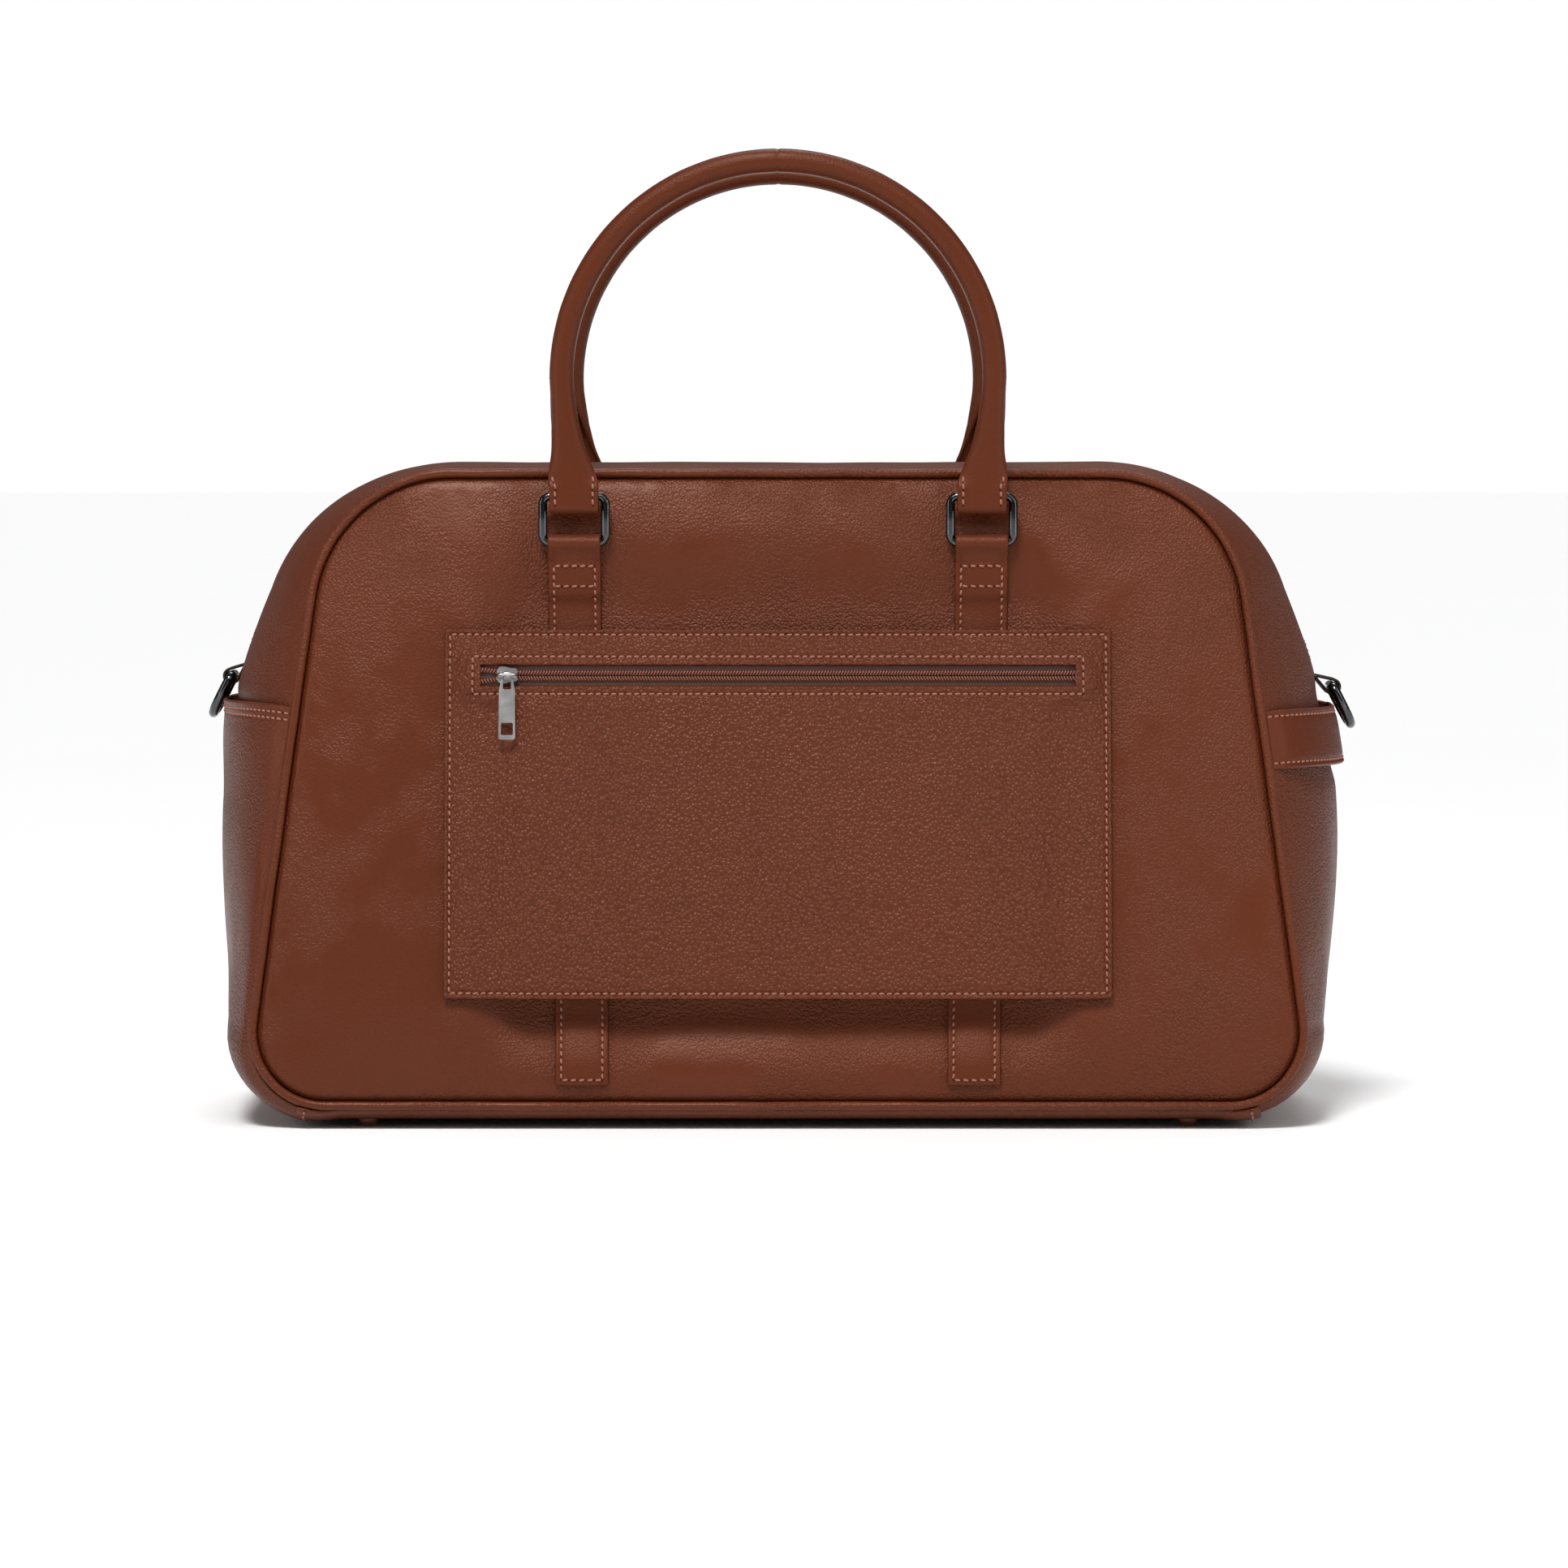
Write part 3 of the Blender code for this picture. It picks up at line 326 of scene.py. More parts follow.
def seam(distance):
    """The same round the whole seam: left of the top's middle, the distance is negative."""
    x, z, nx, nz = half_seam(min(abs(distance), HALF_LENGTH))
    return (x, z, nx, nz) if distance >= 0 else (-x, z, -nx, nz)


def side_distance(z):
    return SIDE_START + (SIDE_TOP_Z - z) / math.cos(LEAN)


def height(z):
    """0 at the bottom seam, 1 at the top seam."""
    return min(max((z - PANEL_BOTTOM) / (PANEL_TOP - PANEL_BOTTOM), 0.0), 1.0)


def half_depth(z):
    return BASE_HALF_DEPTH - (BASE_HALF_DEPTH - TOP_HALF_DEPTH) * height(z) ** TAPER_POWER


def half_width(z):
    top_centre = PANEL_TOP - TOP_RADIUS
    bottom_centre = PANEL_BOTTOM + BOTTOM_RADIUS
    if z > SIDE_TOP_Z:
        return TOP_RUN + math.sqrt(max(TOP_RADIUS ** 2 - (z - top_centre) ** 2, 0.0))
    if z < bottom_centre + BOTTOM_RADIUS * math.sin(LEAN):
        return BOTTOM_RUN + math.sqrt(max(BOTTOM_RADIUS ** 2 - (z - bottom_centre) ** 2, 0.0))
    return TOP_HALF + (PANEL_TOP - z) * math.tan(LEAN)


def seam_gap(x, z):
    """How far a point of a panel lies inside the seam."""
    x = abs(x)
    side = (TOP_HALF + (PANEL_TOP - z) * math.tan(LEAN) - x) * math.cos(LEAN)
    gap = min(PANEL_TOP - z, z - PANEL_BOTTOM, side)
    for run, level, radius, start, end in (
            (TOP_RUN, PANEL_TOP - TOP_RADIUS, TOP_RADIUS, 0.0, TOP_TURN),
            (BOTTOM_RUN, PANEL_BOTTOM + BOTTOM_RADIUS, BOTTOM_RADIUS, TOP_TURN, math.pi)):
        dx, dz = x - run, z - level
        if dx > 0 and start <= math.atan2(dx, dz) <= end:
            gap = min(gap, radius - math.hypot(dx, dz))
    return max(gap, 0.0)


def hollow(x, z):
    """How much of the back panel's hollow there is at a point, from 0 to 1."""
    sideways = 1 - ease(abs(x), 0.120, 0.158)
    upright = ease(z, 0.026, 0.060) * (1 - ease(z, 0.253, 0.302))
    return sideways * upright


def hollowing(side):
    """Depth of a panel's hollow: only the back panel, on side -1, has one."""
    return HOLLOW if side < 0 else 0.0


def mirrored(half):
    """Values from the middle outward, with their negatives before them."""
    return [-value for value in reversed(half[1:])] + half


def top_curve(steps):
    """Distances round the seam's top corner, without its start."""
    return [TOP_RUN + TOP_ARC * k / steps for k in range(1, steps + 1)]


def panel_out(x, z, hollowed=0.0):
    """From the mid-plane to a panel's plain outer face, as in the CAD."""
    dome = (1 - min(abs(x) / half_width(z), 1.0) ** 4) * (1 - (2 * height(z) - 1) ** 4)
    return half_depth(z) + PANEL_DOME * dome - hollowed * hollow(x, z)


# Pulls in the leather: ends (x, z), half-width and depth, on both halves of each panel
PULLS = [
    ((0.196, 0.302), (0.134, 0.250), 0.0060, 0.00055),
    ((0.176, 0.306), (0.146, 0.262), 0.0050, 0.00035),
    ((0.044, 0.316), (0.018, 0.268), 0.0070, 0.00045),
    ((0.020, 0.314), (0.006, 0.276), 0.0050, 0.00030),
    ((0.122, 0.292), (0.128, 0.254), 0.0045, 0.00060),
    ((0.080, 0.290), (0.078, 0.254), 0.0045, 0.00060),
    ((0.236, 0.236), (0.214, 0.196), 0.0070, 0.00045),
    ((0.252, 0.110), (0.224, 0.092), 0.0065, 0.00035),
    ((0.262, 0.040), (0.222, 0.052), 0.0080, 0.00050),
]


def relief(x, z, side):
    """Slow waves and pulls of soft leather, which fade out at the seams."""
    gap = seam_gap(x, z)
    fade = ease(gap, 0.004, 0.050)
    wave = 0.0013 * noise.noise(Vector((x * 6.5, z * 7.5, side * 3.1)))
    wave += 0.00045 * noise.noise(Vector((x * 21, z * 17, side * 5.7)))
    pull = 0.0
    for (x0, z0), (x1, z1), width, depth in PULLS:
        dx, dz = x1 - x0, z1 - z0
        length = math.hypot(dx, dz)
        px, pz = abs(x) - x0, z - z0
        along = (px * dx + pz * dz) / length / length
        off = (px * dz - pz * dx) / length
        if -0.3 < along < 1.3:
            taper = ease(along, -0.3, 0.3) * (1 - ease(along, 0.6, 1.3))
            pull -= depth * taper * math.exp(-((off / width) ** 2))
    if side < 0:
        beside = math.exp(-(((abs(x) - SLEEVE_HALF - 0.002) / 0.013) ** 2))
        pull -= 0.0014 * beside * ease(z, 0.045, 0.075) * (1 - ease(z, 0.235, 0.275))
    pucker = 0.00022 * math.sin((x * 0.9 + z) * 2 * math.pi / 0.0125)
    pucker *= ease(gap, 0.002, 0.005) * (1 - ease(gap, 0.006, 0.016))
    return fade * wave + pull * ease(gap, 0.002, 0.020) + pucker


def skin(x, z, side):
    """From the mid-plane to a panel's outer face, with its relief and its turned-in edge."""
    turn = 0.0072
    gap = min(seam_gap(x, z), turn)
    rolled = turn - math.sqrt(max(turn ** 2 - (turn - gap) ** 2, 0.0))
    return panel_out(x, z, hollowing(side)) + relief(x, z, side) - 0.9 * rolled


def swell(z):
    """How far the gusset stands out of the seam's outline, at the mid-plane."""
    h = height(z)
    return BASE_SAG + (TOP_SWELL - BASE_SAG) * h + SIDE_SWELL * math.sin(math.pi * h ** 1.1)


def groove(distance):
    along = abs(distance)
    deep = GROOVE_DEPTH + (TAB_GROOVE - GROOVE_DEPTH) * ease(along, ZIP_REACH, ZIP_REACH + 0.013)
    return deep * (1 - ease(along, STRIP_REACH - 0.012, STRIP_REACH + 0.01))


def dent(distance, z):
    if distance < 0:
        return POCKET_DENT * ease(z, 0.030, 0.080) * (1 - ease(z, 0.196, 0.214))
    return BAND_DENT * ease(z, 0.160, 0.176) * (1 - ease(z, 0.205, 0.221))


def gusset_relief(distance, y, z, depth):
    """Slow waves across the gusset, flat at its seams, at the zip and on the base."""
    fade = (1 - (abs(y) / depth) ** 4) * ease(abs(y), 0.010, 0.030) * ease(z, 0.020, 0.060)
    wave = 0.0009 * noise.noise(Vector((distance * 9, y * 16, 2.3)))
    return fade * (wave + 0.0003 * noise.noise(Vector((distance * 30, y * 45, 7.1))))


def gusset_point(distance, across):
    """Point on the gusset's outer face; across runs from -1 at the back seam to 1."""
    x, z, nx, nz = seam(distance)
    depth = half_depth(z)
    y = max(min(across * (depth - SEAM_GAP), depth * 0.9999), -depth * 0.9999)
    downward = max(-nz, 0.0)
    roundness = (1 - (abs(y) / depth) ** (2.2 + 11.8 * downward)) ** (0.8 - 0.3 * downward)
    out = (swell(z) - dent(distance, z)) * roundness
    out -= groove(distance) * math.exp(-((y / GROOVE_WIDTH) ** 2))
    out += gusset_relief(distance, y, z, depth)
    return Vector((x + nx * out, y, z + nz * out))


def off_gusset(distance, across, lift):
    """Point at an even distance from the gusset's outer face."""
    step = 0.002
    along = gusset_point(distance + step, across) - gusset_point(distance - step, across)
    sideways = gusset_point(distance, across + step) - gusset_point(distance, across - step)
    return gusset_point(distance, across) + along.cross(sideways).normalized() * lift


# ---------------------------------------------------------------- mesh builders

def unit(vectors):
    """Vectors scaled to length one."""
    return vectors / np.maximum(np.linalg.norm(vectors, axis=-1, keepdims=True), 1e-12)


def put(name, points, faces, look, body, node):
    """A smooth mesh piece that rides on a body, and stands for a CAD node if one is named."""
    mesh = bpy.data.meshes.new(name)
    mesh.from_pydata(np.asarray(points, float).tolist(), [], faces)
    mesh.materials.append(LOOKS[look])
    mesh.shade_smooth()
    mesh.update()
    piece = bpy.data.objects.new(name, mesh)
    bpy.context.scene.collection.objects.link(piece)
    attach(piece, body)
    if node:
        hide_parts(node)
    return piece


def sheet(name, rows, thickness, look, body, node, middle=None, holes=()):
    """A sheet on a grid of points, with rounded edges.

    With a middle point the grid is the face away from it, and without one it is halfway through.
    Returns the piece, its outer points and their normals.
    """
    grid = np.array([[tuple(point) for point in row] for row in rows], float)
    across = grid.shape[1]
    normal = unit(np.cross(np.gradient(grid, axis=0), np.gradient(grid, axis=1)))
    if middle is None:
        outer, inner = grid + normal * thickness / 2, grid - normal * thickness / 2
        flip = False
    else:
        flip = ((grid - np.array(middle)) * normal).sum() < 0
        normal = -normal if flip else normal
        outer, inner = grid, grid - normal * thickness
    cells = [(i, j) for i in range(grid.shape[0] - 1) for j in range(across - 1)
             if (i, j) not in holes]
    quads = []
    for i, j in cells:
        a = i * across + j
        quad = (a, a + across, a + across + 1, a + 1)
        quads.append(quad[::-1] if flip else quad)
    used = sorted({v for quad in quads for v in quad})
    index = {v: k for k, v in enumerate(used)}
    quads = [tuple(index[v] for v in quad) for quad in quads]
    top = outer.reshape(-1, 3)[used]
    low = inner.reshape(-1, 3)[used]
    facing = normal.reshape(-1, 3)[used]
    count = len(used)

    edges = {(q[k], q[(k + 1) % 4]) for q in quads for k in range(4)}
    rims = [edge for edge in sorted(edges) if (edge[1], edge[0]) not in edges]
    away = np.zeros((count, 3))
    for a, b in rims:
        out = np.cross(top[b] - top[a], facing[a] + facing[b])
        out /= max(np.linalg.norm(out), 1e-12)
        away[a] += out
        away[b] += out
    border = sorted({v for edge in rims for v in edge})
    first = {v: 2 * count + k for k, v in enumerate(border)}
    edge_points = (top[border] + low[border]) / 2 + unit(away[border]) * thickness * RIM
    faces = quads + [tuple(v + count for v in quad[::-1]) for quad in quads]
    for a, b in rims:
        faces.append((b, a, first[a], first[b]))
        faces.append((first[b], first[a], a + count, b + count))
    piece = put(name, np.vstack([top, low, edge_points]), faces, look, body, node)
    return piece, outer, normal


def tube(name, points, radius, look, body, node="", closed=False, sides=14):
    """A round bar along points; the radius may differ from point to point."""
    line = np.array([tuple(point) for point in points], float)
    count = len(line)
    radii = np.broadcast_to(np.asarray(radius, float), count)
    if closed:
        ahead = unit(np.roll(line, -1, axis=0) - np.roll(line, 1, axis=0))
    else:
        ahead = unit(np.gradient(line, axis=0))
    start = np.array((0.0, 1.0, 0.0)) if abs(ahead[0][1]) < 0.9 else np.array((1.0, 0, 0))
    frames = []
    side = unit(start - ahead[0] * start.dot(ahead[0]))
    for direction in ahead:
        side = unit(side - direction * side.dot(direction))
        frames.append((side, np.cross(direction, side)))
    if closed:
        final = unit(frames[-1][0] - ahead[0] * frames[-1][0].dot(ahead[0]))
        twist = math.atan2(final.dot(frames[0][1]), final.dot(frames[0][0]))
    else:
        twist = 0.0
    turns = np.arange(sides) * 2 * math.pi / sides
    points = []
    for k, (u, v) in enumerate(frames):
        angles = turns - twist * k / count
        ring = np.outer(np.cos(angles), u) + np.outer(np.sin(angles), v)
        points.append(line[k] + ring * radii[k])
    faces = []
    for k in range(count if closed else count - 1):
        here, there = k * sides, (k + 1) % count * sides
        for s in range(sides):
            t = (s + 1) % sides
            faces.append((here + s, here + t, there + t, there + s))
    if not closed:
        faces += [tuple(range(sides))[::-1], tuple(range((count - 1) * sides, count * sides))]
    return put(name, np.vstack(points), faces, look, body, node)


def copies(name, template, places, look, body, node=""):
    """One mesh of many copies of a template, (points, faces), at 4 by 4 matrices."""
    points, faces = template
    points = np.array(points, float)
    stacked = [points @ m[:3, :3].T + m[:3, 3] for m in places]
    made = []
    for k in range(len(places)):
        made += [tuple(v + k * len(points) for v in face) for face in faces]
    return put(name, np.vstack(stacked), made, look, body, node)


def bead(length, radius, bow, sides=6, flat=1.0):
    """A short thread along X whose ends dip by bow, as (points, faces)."""
    stations = (-1.0, -0.86, -0.5, 0.0, 0.5, 0.86, 1.0)
    points, faces = [], []
    for s in stations:
        r = radius * (max(1 - abs(s) ** 5, 0.0) * 0.75 + 0.25)
        for k in range(sides):
            angle = 2 * math.pi * k / sides
            points.append((s * length / 2, r * math.cos(angle),
                           r * flat * math.sin(angle) - bow * s * s))
    for k in range(len(stations) - 1):
        for s in range(sides):
            a, b = k * sides + s, k * sides + (s + 1) % sides
            faces.append((a, a + sides, b + sides, b))
    faces += [tuple(range(sides)), tuple(range(len(points) - sides, len(points)))[::-1]]
    return points, faces


def resample(points, normals, pitch):
    """Places along a line at an even pitch: matrices whose X runs along it and Z out of it."""
    points = np.asarray(points, float)
    steps = np.linalg.norm(np.diff(points, axis=0), axis=1)
    along = np.concatenate([[0.0], np.cumsum(steps)])
    length = along[-1]
    count = max(int(round(length / pitch)), 1)
    centres = (np.arange(count) + 0.5) * length / count

    def at(values, s):
        return np.stack([np.interp(s, along, values[:, k]) for k in range(3)], axis=-1)

    here = at(points, centres)
    ahead = unit(at(points, centres + 0.0006) - at(points, centres - 0.0006))
    up = at(np.asarray(normals, float), centres)
    up = unit(up - ahead * (up * ahead).sum(axis=1, keepdims=True))
    side = np.cross(up, ahead)
    places = []
    for k in range(count):
        m = np.eye(4)
        m[:3, 0], m[:3, 1], m[:3, 2], m[:3, 3] = ahead[k], side[k], up[k], here[k]
        places.append(m)
    return places


def turned(m, angle):
    """A place turned about its own Z."""
    spin = np.eye(4)
    spin[0, 0] = spin[1, 1] = math.cos(angle)
    spin[1, 0] = math.sin(angle)
    spin[0, 1] = -spin[1, 0]
    return m @ spin


def shifted(m, x=0.0, y=0.0, z=0.0):
    """A place moved along its own axes."""
    made = m.copy()
    made[:3, 3] += m[:3, 0] * x + m[:3, 1] * y + m[:3, 2] * z
    return made


def stitches(name, lines, slant, body="bag", pitch=PITCH):
    """Rows of thread between needle holes, along lines of (points, normals); each hole is a flat
    dark dot of painted shade.
    """
    thread = bead(pitch * 0.80, THREAD, THREAD * 1.2)
    # Painted shade: a flat dark dot at each needle hole, where shade falls
    hole_shade = bead(pitch * 0.22, THREAD * 0.9, 0.0, 6, 0.35)
    threads, holes = [], []
    for points, normals in lines:
        for m in resample(points, normals, pitch):
            threads.append(shifted(turned(m, math.radians(slant)), z=THREAD * 0.42))
            holes.append(shifted(m, x=-pitch / 2, z=THREAD * 0.02))
    copies(name, thread, threads, "thread", body)
    copies(name.replace("thread", "needle_hole_shades"), hole_shade, holes, "needle_hole_shade", body)


def inner_line(outer, normal, row=None, column=None, span=None):
    """Part of one column or row of a sheet's grid, as a line for stitches."""
    part = slice(*span) if span else slice(None)
    if column is not None:
        return outer[part, column], normal[part, column]
    return outer[row, part], normal[row, part]


def edged(low, high, step):
    """Stations from low to high, closer together near both ends."""
    inner_low, inner_high = low + 0.008, high - 0.008
    steps = max(int(round((inner_high - inner_low) / step)), 1)
    return ([low] + [low + v for v in EDGE_INSETS] + spread(inner_low, inner_high, steps)
            + [high - v for v in reversed(EDGE_INSETS)] + [high])


def channel(gap):
    """How deep a row of stitches pulls the leather in, at a distance from its edge."""
    return 0.00065 * math.exp(-(((gap - INSET) / 0.0011) ** 2))


def prism(name, outlines, low, high, look, body, node, bevel, place):
    """A plate in a place's X-Y plane with bevelled edges: an outline, and any others as holes."""
    form = bmesh.new()
    for outline in outlines:
        corners = [form.verts.new((x, y, low)) for x, y in outline]
        for corner, following in zip(corners, corners[1:] + corners[:1]):
            form.edges.new((corner, following))
    bmesh.ops.triangle_fill(form, edges=form.edges[:], use_beauty=True, normal=(0, 0, 1))
    grown = bmesh.ops.extrude_face_region(form, geom=form.faces[:])
    lifted = [item for item in grown["geom"] if isinstance(item, bmesh.types.BMVert)]
    bmesh.ops.translate(form, verts=lifted, vec=(0, 0, high - low))
    bmesh.ops.recalc_face_normals(form, faces=form.faces[:])
    bmesh.ops.dissolve_limit(form, angle_limit=0.01, verts=form.verts[:], edges=form.edges[:])
    if bevel:
        sharp = [e for e in form.edges if e.calc_face_angle(0) > math.radians(50)]
        bmesh.ops.bevel(form, geom=sharp, offset=bevel, segments=2, affect="EDGES",
                        clamp_overlap=True)
    bmesh.ops.triangulate(form, faces=form.faces[:])
    form.transform(place)
    points = [tuple(v.co) for v in form.verts]
    form.verts.index_update()
    faces = [tuple(v.index for v in face.verts) for face in form.faces]
    form.free()
    piece = put(name, points, faces, look, body, node)
    piece.data.set_sharp_from_angle(angle=math.radians(32))
    return piece


# ---------------------------------------------------------------- shell

def body_panel(label, side):
    """A back or front panel, turned in all round its seam."""
    corner = [TOP_RUN + TOP_ARC * k / 18 for k in range(18)]
    straight = spread(SIDE_START, SIDE_START + SIDE_RUN, 78)
    bottom = [SIDE_START + SIDE_RUN + BOTTOM_ARC * k / 16 for k in range(1, 17)]
    inset = 0.0011
    rows = []
    for distance in corner + straight + bottom:
        edge, z, nx, nz = half_seam(distance)
        edge -= nx * inset
        z -= nz * inset
        near = [0.0, 0.0007, 0.0015, 0.0026, 0.0040, 0.0060, 0.0090, 0.0130]
        inside = edge - 0.018
        half = [inside * f for f in spread(0, 1, 62)[1:]] + [edge - v for v in reversed(near)]
        columns = mirrored([0.0] + half)
        rows.append([(x, side * skin(x, z, side), z) for x in columns])
    piece, _, _ = sheet(f"{label}_panel_leather", rows, LEATHER, "leather", "bag",
                        f"{label}_panel", MIDDLE)


def piping(label, side):
    """The bead in a panel's seam, a little uneven as sewn leather is."""
    half = [TOP_RUN * f for f in spread(0, 1, 40)]
    half += top_curve(30)
    half += spread(SIDE_START, SIDE_START + SIDE_RUN, 60)[1:]
    half += [SIDE_START + SIDE_RUN + BOTTOM_ARC * k / 20 for k in range(1, 21)]
    half += spread(HALF_LENGTH - BOTTOM_RUN, HALF_LENGTH, 50)[1:]
    loop = half + [-d for d in reversed(half[1:-1])]
    points, radii = [], []
    for distance in loop:
        x, z, nx, nz = seam(distance)
        out = 0.0007 + 0.00025 * noise.noise(Vector((distance * 40, side * 2.0, 0.5)))
        points.append((x + nx * out, side * (half_depth(z) - 0.0002), z + nz * out))
        radii.append(PIPING_RADIUS + 0.00012 * noise.noise(Vector((distance * 90, side, 3.5))))
    tube(f"piping_{label}_bead", points, radii, "leather", "bag", f"piping_{label}", True, 14)


def across_stations(steps):
    """Values from -1 to 1 with more near both ends, and a little past them into the seam."""
    return [-1.016, -1.008] + end_across(steps) + [1.008, 1.016]


def side_gusset(label, sign):
    """An end of the bag below the zip's end."""
    stations = spread(STRIP_REACH + 2 * JOINT_GAP, HALF_LENGTH - BASE_REACH, 66)
    across = across_stations(44)
    rows = [[gusset_point(sign * d, w) for w in across] for d in stations]
    piece, _, _ = sheet(f"gusset_{label}_leather", rows, LEATHER, "leather", "bag",
                        f"side_gusset_{label}", MIDDLE)


def base():
    """The base, whose ends turn up and lie over the gussets' lower corners."""
    reach = BASE_REACH + 0.0045
    half = spread(HALF_LENGTH - reach, HALF_LENGTH, 74)
    along = half + [-d for d in reversed(half[:-1])]
    across = across_stations(30)
    rows = []
    for distance in along:
        over = 1 - ease(abs(distance), HALF_LENGTH - reach, HALF_LENGTH - reach + 0.022)
        rows.append([off_gusset(distance, w * 0.998, 0.0001 + 0.0021 * over) for w in across])
    piece, outer, normal = sheet("base_leather", rows, LEATHER * 0.8, "leather", "bag",
                                 "base_panel", MIDDLE)
    last = len(along) - 1
    row = max(k for k in range(12) if abs(along[k]) < HALF_LENGTH - reach + 0.0035)
    stitches("thread_base", [inner_line(outer, normal, row=k) for k in (row, last - row)],
             slant=0)


def strip_edge_distance(distance):
    """From the mid-plane to a top strip's edge by the zip."""
    closing = ease(abs(distance), ZIP_REACH, ZIP_REACH + 0.013)
    return STRIP_EDGE + (JOINT_GAP - STRIP_EDGE) * closing


def top_strip(label, side):
    """The gusset on one side of the main zip, folded back along the zip and stitched."""
    half = spread(0, TOP_RUN, 40) + top_curve(44)
    half += spread(SIDE_START, STRIP_REACH, 24)[1:]
    stations = mirrored(half)
    rows = []
    for distance in stations:
        reach = half_depth(seam(distance)[1]) - SEAM_GAP
        edge = strip_edge_distance(distance)
        room = reach - edge
        near = [0.0, 0.0006, 0.0014, 0.0024, 0.0034, 0.0050, 0.0080]
        inner = [0.008 + (room - 0.008) * math.sin(math.pi / 2 * f) for f in spread(0, 1, 26)]
        ys = [edge + v for v in near + inner[1:]] + [reach + 0.0007, reach + 0.0014]
        line = []
        for y in ys:
            point = gusset_point(distance, side * y / reach)
            _, _, nx, nz = seam(distance)
            sink = channel(y - edge) * 1.2
            line.append(point - Vector((nx, 0, nz)) * sink)
        rows.append(line)
    piece, outer, normal = sheet(f"top_strip_{label}_leather", rows, LEATHER, "leather", "bag",
                                 f"top_strip_{label}", MIDDLE)
    stitches(f"thread_top_{label}", [inner_line(outer, normal, column=3)], slant=-7 * side)


def feet():
    """Small studs under the base, each a dome on a faceted collar."""
    for label, side in PANELS:
        for end, sign in ENDS:
            profile = [(0.0, 0.0), (0.0024, 0.0), (0.0031, 0.0004), (0.0034, 0.0012),
                       (0.0041, 0.0020), (0.0047, 0.0026), (0.0048, FOOT_HEIGHT + 0.0012)]
            sides = 20
            points = [(sign * FOOT_X, side * FOOT_Y, 0.0)]
            for radius, z in profile[1:]:
                for k in range(sides):
                    angle = 2 * math.pi * k / sides
                    points.append((sign * FOOT_X + radius * math.cos(angle),
                                   side * FOOT_Y + radius * math.sin(angle), z))
            faces = [(0, 1 + (k + 1) % sides, 1 + k) for k in range(sides)]
            for ring in range(len(profile) - 2):
                for k in range(sides):
                    a, b = 1 + ring * sides + k, 1 + ring * sides + (k + 1) % sides
                    faces.append((a, b, b + sides, a + sides))
            faces.append(tuple(len(points) - sides + k for k in range(sides)))
            put(f"stud_{label}_{end}", points, faces, "foot", "bag", f"foot_{label}_{end}")


# ---------------------------------------------------------------- straps, rings, handles

def tangent_angle(point, centre, radius, turn):
    """Angle, in degrees, of the point where a line from a point touches a circle."""
    away = Vector(point) - Vector(centre)
    side = math.acos(radius / away.length)
    return math.degrees(math.atan2(away.y, away.x) + turn * side)


def bar_y(side):
    """Where the rings' lower bars stand."""
    return side * (panel_out(STRAP_TOP_X, LOOP_LOW_Z, hollowing(side)) + RING_STAND)


def strap(label, side, end, sign):
    """A strap sewn up a panel, folded round a ring and sewn down on itself."""
    under = STRAP_THICKNESS / 2 + 0.0004
    over = under + STRAP_THICKNESS + 0.0003
    fold_z = RING_BAR_Z - 0.009
    centre = (RING_STAND, RING_BAR_Z)
    front, back = (over + 0.0002, fold_z), (under, fold_z)
    start = tangent_angle(front, centre, LOOP_RADIUS, 1)
    finish = tangent_angle(back, centre, LOOP_RADIUS, -1) + 360
    low_z = 0.0228
    path = [(under, low_z)] + [(under, low_z + v) for v in (0.0006, 0.0014, 0.0024, 0.0036, 0.006)]
    path += [(under, z) for z in spread(0.031, 0.2575, 76)]
    path += [(under + (over - under) * ease(z, 0.2585, 0.2665), z)
             for z in spread(0.259, 0.2665, 6)]
    path += [(over, z) for z in (0.2685, 0.2705, 0.2725, 0.2745, 0.2765, 0.2785, 0.280)] + [front]
    path += arc(centre, LOOP_RADIUS, start, finish, 22)
    path += [back, (under, 0.276), (under, 0.2695)]
    widths = edged(-0.5 * STRAP_WIDTH, 0.5 * STRAP_WIDTH, 0.0022)
    rows = []
    for stand, z in path:
        low = min(z, LOOP_LOW_Z)
        fixed = ease(z, 0.262, 0.280)
        x = STRAP_BOTTOM_X + (STRAP_TOP_X - STRAP_BOTTOM_X) * ease(z, 0.02, 0.30)
        line = []
        for w in widths:
            soft = skin(sign * (x + w), low, side)
            flat = panel_out(sign * (x + w), low, hollowing(side))
            out = soft + (flat - soft) * fixed + stand
            sewn = 1 - ease(z, 0.2790, 0.2810)
            out -= channel(0.5 * STRAP_WIDTH - abs(w)) * sewn
            out += 0.0007 * (1 - (2 * w / STRAP_WIDTH) ** 2) * sewn
            line.append((sign * (x + w), side * out, z))
        rows.append(line)
    name = f"{label}_{end}"
    piece, _, normal = sheet(f"strap_{name}_leather", rows, STRAP_THICKNESS, "leather_smooth",
                             "bag", f"strap_{name}")
    facing = normal * np.sign((normal[3, 3] * np.array((0, side, 0))).sum())
    face = np.array(rows) + facing * STRAP_THICKNESS / 2
    columns = [k for k, w in enumerate(widths) if abs(abs(w) - (0.5 * STRAP_WIDTH - INSET)) < 1e-6]
    top = next(k for k, (_, z) in enumerate(path) if z >= 0.2785)
    low = next(k for k, (_, z) in enumerate(path) if z >= 0.2685)
    lines = [inner_line(face, facing, column=c, span=(3, top + 1)) for c in columns]
    lines += [inner_line(face, facing, row=k, span=(columns[0], columns[1] + 1))
              for k in (top, low, 3)]
    stitches(f"thread_strap_{name}", lines, slant=9 * side * sign)


